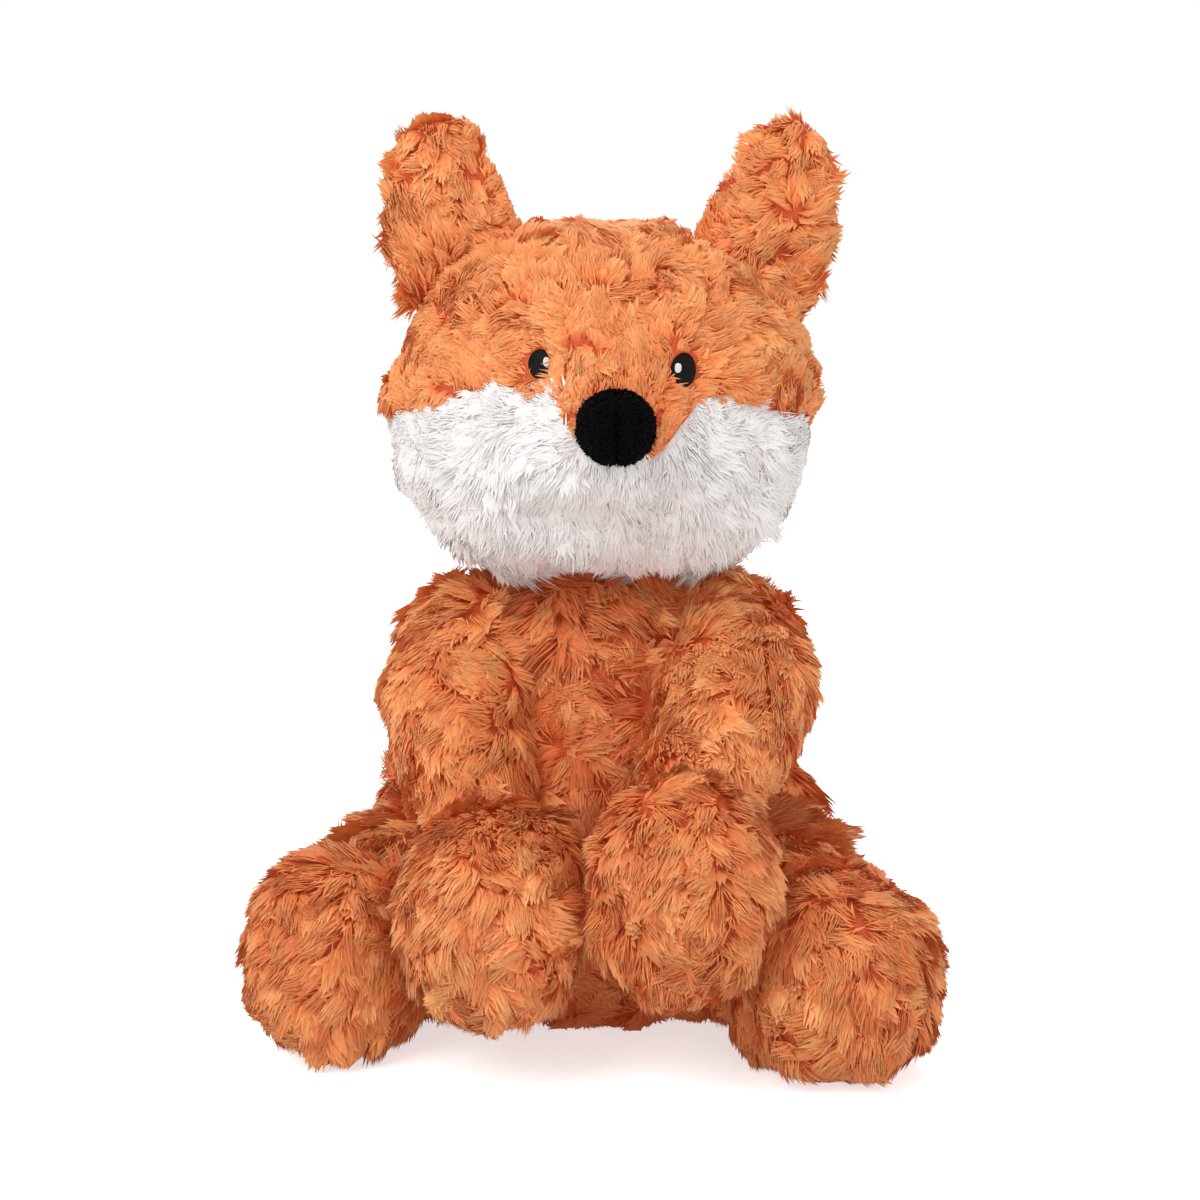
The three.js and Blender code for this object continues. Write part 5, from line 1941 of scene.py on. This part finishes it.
@dataclass(frozen=True)
class Leg:
    """A short leg sewn to the hip, and the big round foot on its ankle."""

    dressing: Dressing
    side: Side
    torso: TorsoForm
    paw: BallForm
    splay: float
    hip_to_foot: float
    thigh_out: float
    foot_size: Triple
    hip_radius: float = 35 * MM
    ankle_radius: float = 26 * MM
    thigh_up: float = 13 * MM
    hip_spread: float = 68 * MM
    hip_forward: float = 14 * MM
    hip_height: float = 34 * MM
    ankle_height: float = 35 * MM
    ankle_to_foot: float = 39 * MM
    seat_cut: float = 0.5 * MM
    paw_dent: float = 1.5 * MM
    paw_press: float = 2.4 * MM
    pressed_share: float = 0.3
    sole_rise: float = 16 * MM
    bare_in_foot: float = -3 * MM
    thigh_top: Ramp = Ramp(38 * MM, 14 * MM)
    thigh_longer: float = 0.85
    leg_down: float = 0.3
    foot_down: float = 1.2
    # The leg's and the foot's tufts carry painted shade.
    pile: Pile = Pile(tuft_spacing=5.4 * MM, length=10 * MM, lift=3.9 * MM, deep=0.85)
    foot_pile: Pile = Pile(tuft_spacing=5.6 * MM, length=10.5 * MM, lift=4.0 * MM, swirl=0.7, deep=0.7)

    def along(self, distance: float, height: float) -> Floats:
        """A place at some distance from the hip in the leg's direction, at a height."""
        out, ahead = math.sin(math.radians(self.splay)), math.cos(math.radians(self.splay))
        x = self.side.value * (self.hip_spread / 2 + out * distance)
        return np.array([x, -self.hip_forward - ahead * distance, height])

    @property
    def trouser(self) -> LimbForm:
        """The leg's form, from the hip to the ankle."""
        hip = self.along(0.0, self.hip_height)
        ankle = self.along(self.hip_to_foot - self.ankle_to_foot, self.ankle_height)
        bow = (hip + ankle) / 2 + [self.side.value * self.thigh_out, 0, self.thigh_up]
        return LimbForm(hip, bow, ankle, self.hip_radius, self.ankle_radius)

    @property
    def foot(self) -> BallForm:
        """The foot's form."""
        middle = self.along(self.hip_to_foot, self.foot_size[2] / 2 - self.seat_cut)
        return BallForm(*self.foot_size, Place(turned_about("Z", self.side.value * self.splay), middle))

    def build(self) -> None:
        """Makes the leg's skin and the foot's."""
        word, dressing = self.side.word, self.dressing
        trouser, foot = self.trouser, self.foot
        surface = dressing.skin(trouser.at, 36, 52)
        keep = ~self.torso.holds(surface.middles(), dressing.seam_in_body)
        dressing.dress(
            f"leg_{word}", f"leg_{word}_skin", Slot.ORANGE, surface, keep,
            self.pile, self.leg_flow, 70 + self.side.value, trim=self.thigh_trim,
        )
        surface = dressing.skin(foot.at, 48, 68)
        surface = surface.moved(self.paw.pushed_out(surface.points, self.paw_dent))
        keep = ~trouser.holds(surface.middles(), dressing.seam_in_limb)
        dressing.dress(
            f"foot_{word}", f"foot_{word}_skin", Slot.ORANGE, surface, keep,
            self.foot_pile, self.foot_flow, 74 + self.side.value, trim=self.sole_trim,
        )

    def thigh_trim(self, points: Floats) -> Floats:
        """The pile stands tall on top of the thigh, and none grows inside the foot."""
        tall = 1 + self.thigh_top.at(points[:, 2]) * self.thigh_longer
        return np.where(self.foot.holds(points, self.bare_in_foot), 0, tall)

    def leg_flow(self, points: Floats, normals: Floats) -> Floats:
        """The pile lies along the leg and down."""
        return self.trouser.nearest_heading(points) + np.array([0, 0, -self.leg_down])

    def foot_flow(self, points: Floats, normals: Floats) -> Floats:
        """The pile lies away from the ankle, over the foot and down."""
        return unit(points - self.trouser.end) + np.array([0, 0, -self.foot_down])

    def sole_trim(self, points: Floats) -> Floats:
        """Pile is pressed short where the foot rests on the surface and where the paw lies on it."""
        free = np.clip(self.pressed_share + points[:, 2] / self.sole_rise, self.pressed_share, 1)
        return np.where(self.paw.holds(points, self.paw_press), self.pressed_share, free)


@dataclass(frozen=True)
class Tail:
    """A bushy tail that lies behind the toy, with a white tip."""

    dressing: Dressing
    torso: TorsoForm
    root_height: float = 26 * MM
    root_back: float = 42 * MM
    root_radius: float = 11 * MM
    radius: float = 22 * MM
    length: float = 104 * MM
    aside: float = 18 * MM
    tip_length: float = 34 * MM
    seat_cut: float = 0.5 * MM
    rest_share: float = 0.33
    profile: Spline = Spline((
        (0, 0), (1, 0.03), (1.32, 0.16), (1.86, 0.38), (2, 0.56), (1.78, 0.74), (1.1, 0.92), (0, 1),
    ))
    pile: Pile = Pile(tuft_spacing=6.0 * MM, length=13 * MM, lift=5.0 * MM, swirl=0.7)

    def at(self, share: Floats, angle: Floats) -> Floats:
        """Points of the tail: round rings of the profile's radius on a line that bends aside.

        The line starts at the root's height and comes down until the tail lies on the surface.
        """
        across, way = self.profile.at(share)
        thick = np.maximum(across, 0) * self.radius / 2
        ring = np.where(thick > 1e-6, thick + self.dressing.sink, 0)
        fall = np.maximum(thick, self.root_radius) - self.seat_cut
        rest = np.clip(way / self.rest_share, 0, 1)
        x = self.aside * way**2 + np.cos(angle) * ring
        y = self.root_back + way * (self.length + self.dressing.sink * 2) - self.dressing.sink
        z = self.root_height * (1 - rest) + fall * rest - np.sin(angle) * ring
        return columns(x, y, z)

    def build(self) -> None:
        """Makes the orange skin and the white tip."""
        surface = self.dressing.lumpy(closed_grid(50, 56, self.at))
        middles = surface.middles()
        far = middles[:, 1] > self.root_back + self.length - self.tip_length
        sunk = self.torso.holds(middles, self.dressing.seam_in_body)
        for node, slot, keep, seed in (
            ("tail_skin", Slot.ORANGE, ~far & ~sunk, 80), ("tail_tip", Slot.WHITE, far, 81),
        ):
            self.dressing.dress("tail", node, slot, surface, keep, self.pile, self.flow, seed)

    def flow(self, points: Floats, normals: Floats) -> Floats:
        """The pile lies along the tail, a little aside and down as the tail does."""
        return np.broadcast_to(np.array([0.15, 1.0, -0.1]), points.shape)


@dataclass(frozen=True)
class Insides:
    """What the skins hold: fibre filling, bean bags and the backing of the eyes.

    The filling of a paw and the bag of a foot are kept inside their round skin, by the body's name.
    """

    finishes: Finishes
    balls: dict[str, BallForm]
    voxel: float = 3.0 * MM
    lumps: Drift = Drift(12 * MM, 91)
    lump_height: float = 0.35 * MM
    slack: float = 0.6 * MM
    inside_skin: float = -2.2 * MM
    flat_voxel: float = 0.5 * MM

    def build(self) -> None:
        """Makes a soft, lumpy piece in place of each inner node of the frame."""
        self.soften("torso_filling", "torso", Slot.FILLING, 0.6)
        self.soften("seat_bean_bag", "torso", Slot.BEANS, 0.7)
        self.soften("head_filling", "head", Slot.FILLING, 0.7)
        self.soften("nose_filling", "head", Slot.FILLING, 0.9)
        self.soften("tail_filling", "tail", Slot.FILLING, 0.5)
        for side in Side:
            word = side.word
            self.soften(f"arm_{word}_filling", f"arm_{word}", Slot.FILLING, 0.5)
            self.soften(f"paw_{word}_filling", f"paw_{word}", Slot.FILLING, 0.6)
            self.soften(f"leg_{word}_filling", f"leg_{word}", Slot.FILLING, 0.5)
            self.soften(f"foot_{word}_bean_bag", f"foot_{word}", Slot.BEANS, 0.7)
            self.soften(f"eye_backing_{word}", "head", Slot.BACKING, 0.0)

    def soften(self, node: str, body: str, slot: Slot, fill: float) -> None:
        """A smoothed copy of a node, with low lumps where it is stuffed.

        Args:
            node: The frame node.
            body: Its body.
            slot: Its finish.
            fill: How full it is, or 0 for a flat piece that only has its facets smoothed.
        """
        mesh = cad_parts[node].data.copy()
        work = bmesh.new()
        work.from_mesh(mesh)
        bmesh.ops.remove_doubles(work, verts=work.verts, dist=1e-6)
        work.to_mesh(mesh)
        work.free()
        mesh.materials.clear()
        rough = linked(f"{node}_rough", mesh)
        remesh = rough.modifiers.new("even_faces", "REMESH")
        remesh.mode = "VOXEL"
        remesh.voxel_size = self.voxel if fill else self.flat_voxel
        smooth = rough.modifiers.new("soft_edges", "SMOOTH")
        smooth.factor = 0.5
        smooth.iterations = 6 if fill else 1
        solid = bpy.data.meshes.new_from_object(rough.evaluated_get(bpy.context.evaluated_depsgraph_get()))
        bpy.data.objects.remove(rough)
        solid.name = f"{node}_soft"
        if fill:
            read = np.empty((2, len(solid.vertices) * 3))
            solid.vertices.foreach_get("co", read[0])
            solid.vertices.foreach_get("normal", read[1])
            points, normals = read.reshape(2, -1, 3)
            low = self.lumps.value(points)[:, None] * self.lump_height - self.slack
            points = points + normals * low
            if body in self.balls:
                points = self.balls[body].drawn_in(points, self.inside_skin)
            solid.vertices.foreach_set("co", points.ravel())
        solid.materials.append(self.finishes.of(slot))
        solid.shade_smooth()
        declare(linked(solid.name, solid), body, node, slot)


@dataclass(frozen=True)
class Studio:
    """A plain pale floor, soft lamps and the camera at the photograph's angle."""

    target: Triple = (0.0, 0.0, 0.151)
    distance: float = 1.1
    elevation: float = 12.0
    focal_pixels: float = 2973.0
    picture_pixels: float = 1200.0
    sensor: float = 36.0
    floor_size: float = 30.0
    world_strength: float = 0.69
    floor_glow: float = 0.62
    lamps: tuple[tuple[str, Triple, float, float], ...] = (
        ("key_lamp", (-0.75, -1.1, 1.25), 0.9, 13.8),
        ("fill_lamp", (1.1, -1.0, 0.7), 1.1, 3.0),
        ("back_lamp", (0.2, 1.1, 1.1), 0.9, 6.4),
    )

    def build(self) -> None:
        """Makes the stage, the light and the camera."""
        self.build_floor()
        self.build_world()
        for name, place, size, power in self.lamps:
            self.build_lamp(name, place, size, power)
        self.build_camera()
        bpy.context.scene.view_settings.view_transform = "Standard"

    def build_floor(self) -> None:
        """A wide floor that shows white to the camera and keeps the toy's soft shadow."""
        half = self.floor_size / 2
        corners = [(-half, -half, 0), (half, -half, 0), (half, half, 0), (-half, half, 0)]
        mesh = bpy.data.meshes.new("floor")
        mesh.from_pydata(corners, [], [(0, 1, 2, 3)])
        material, nodes, shader = new_material("floor_paper")
        grain = nodes.noise(nodes.own_place(), 400.0)
        colour = nodes.mix(grain, (0.84, 0.84, 0.84, 1), (0.88, 0.88, 0.88, 1))
        nodes.feed(shader.inputs["Base Color"], colour)
        shader.inputs["Roughness"].default_value = 0.95
        shader.inputs["Specular IOR Level"].default_value = 0.0
        shader.inputs["Emission Color"].default_value = (1, 1, 1, 1)
        glow = nodes.maths("MULTIPLY", nodes.seen(), self.floor_glow)
        nodes.feed(shader.inputs["Emission Strength"], glow)
        mesh.materials.append(material)
        linked("floor", mesh)

    def build_world(self) -> None:
        """An even sky that lights the toy from all sides and shows white to the camera."""
        world = bpy.data.worlds.new("studio")
        bpy.context.scene.world = world
        world.use_nodes = True
        nodes = Nodes(world.node_tree)
        background = world.node_tree.nodes["Background"]
        background.inputs["Color"].default_value = (1, 1, 1, 1)
        strength = nodes.maths("MULTIPLY_ADD", nodes.seen(), 1 - self.world_strength, self.world_strength)
        nodes.feed(background.inputs["Strength"], strength)

    def build_lamp(self, name: str, place: Triple, size: float, power: float) -> None:
        """A square area lamp that points at the toy.

        Args:
            name: The lamp's name.
            place: Where it hangs.
            size: The side of its square.
            power: In watts.
        """
        data = bpy.data.lights.new(name, "AREA")
        data.size = size
        data.energy = power
        lamp = linked(name, data)
        lamp.location = place
        away = np.array(place) - np.array(self.target)
        flat = math.hypot(away[0], away[1])
        lamp.rotation_euler = (math.atan2(flat, away[2]), 0, math.atan2(away[0], -away[1]))

    def build_camera(self) -> None:
        """The camera, at the photograph's elevation, distance and field of view."""
        data = bpy.data.cameras.new("camera")
        data.sensor_width = self.sensor
        data.lens = self.focal_pixels / self.picture_pixels * self.sensor
        camera = linked("camera", data)
        tilt = math.radians(self.elevation)
        x, y, z = self.target
        camera.location = (x, y - self.distance * math.cos(tilt), z + self.distance * math.sin(tilt))
        camera.rotation_euler = (math.pi / 2 - tilt, 0, 0)
        bpy.context.scene.camera = camera


def write_sizes() -> None:
    """Brings the view layer up to date."""
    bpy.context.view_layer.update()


def main() -> None:
    """Builds the studio and then each sub-assembly of the toy, from the torso out."""
    logging.basicConfig(level=logging.INFO, format="%(message)s")
    Studio().build()
    finishes = Finishes.build()
    dressing = Dressing(finishes)
    torso, head = TorsoForm(), HeadForm()
    Torso(dressing, torso).build()
    NeckThread(finishes).build()
    Head(dressing, head).build()
    Nose(finishes, head).build()
    arms = (
        Arm(dressing, Side.LEFT, torso, 21 * MM, 90 * MM, 55 * MM, 0.12),
        Arm(dressing, Side.RIGHT, torso, 13 * MM, 74 * MM, 70 * MM, 0.1),
    )
    feet = (
        (35.0, 83.5 * MM, 22 * MM, (65 * MM, 70 * MM, 69 * MM)),
        (51.0, 76 * MM, 34 * MM, (57 * MM, 61 * MM, 69 * MM)),
    )
    ears = ((35.5 * MM, 57.5 * MM, 12.5), (36.0 * MM, 51.0 * MM, 12.0))
    balls: dict[str, BallForm] = {}
    for arm, foot, ear in zip(arms, feet, ears):
        Eye(finishes, head, arm.side).build()
        Ear(dressing, head, arm.side, *ear).build()
        arm.build()
        leg = Leg(dressing, arm.side, torso, arm.paw, *foot)
        leg.build()
        balls[f"paw_{arm.side.word}"] = arm.paw
        balls[f"foot_{arm.side.word}"] = leg.foot
    Tail(dressing, torso).build()
    Insides(finishes, balls).build()
    write_sizes()
    made = [piece for piece in bpy.data.objects if piece.type == "MESH"]
    log.info("triangles in all: %d", sum(len(piece.data.polygons) for piece in made))


if __name__ == "__main__":
    main()
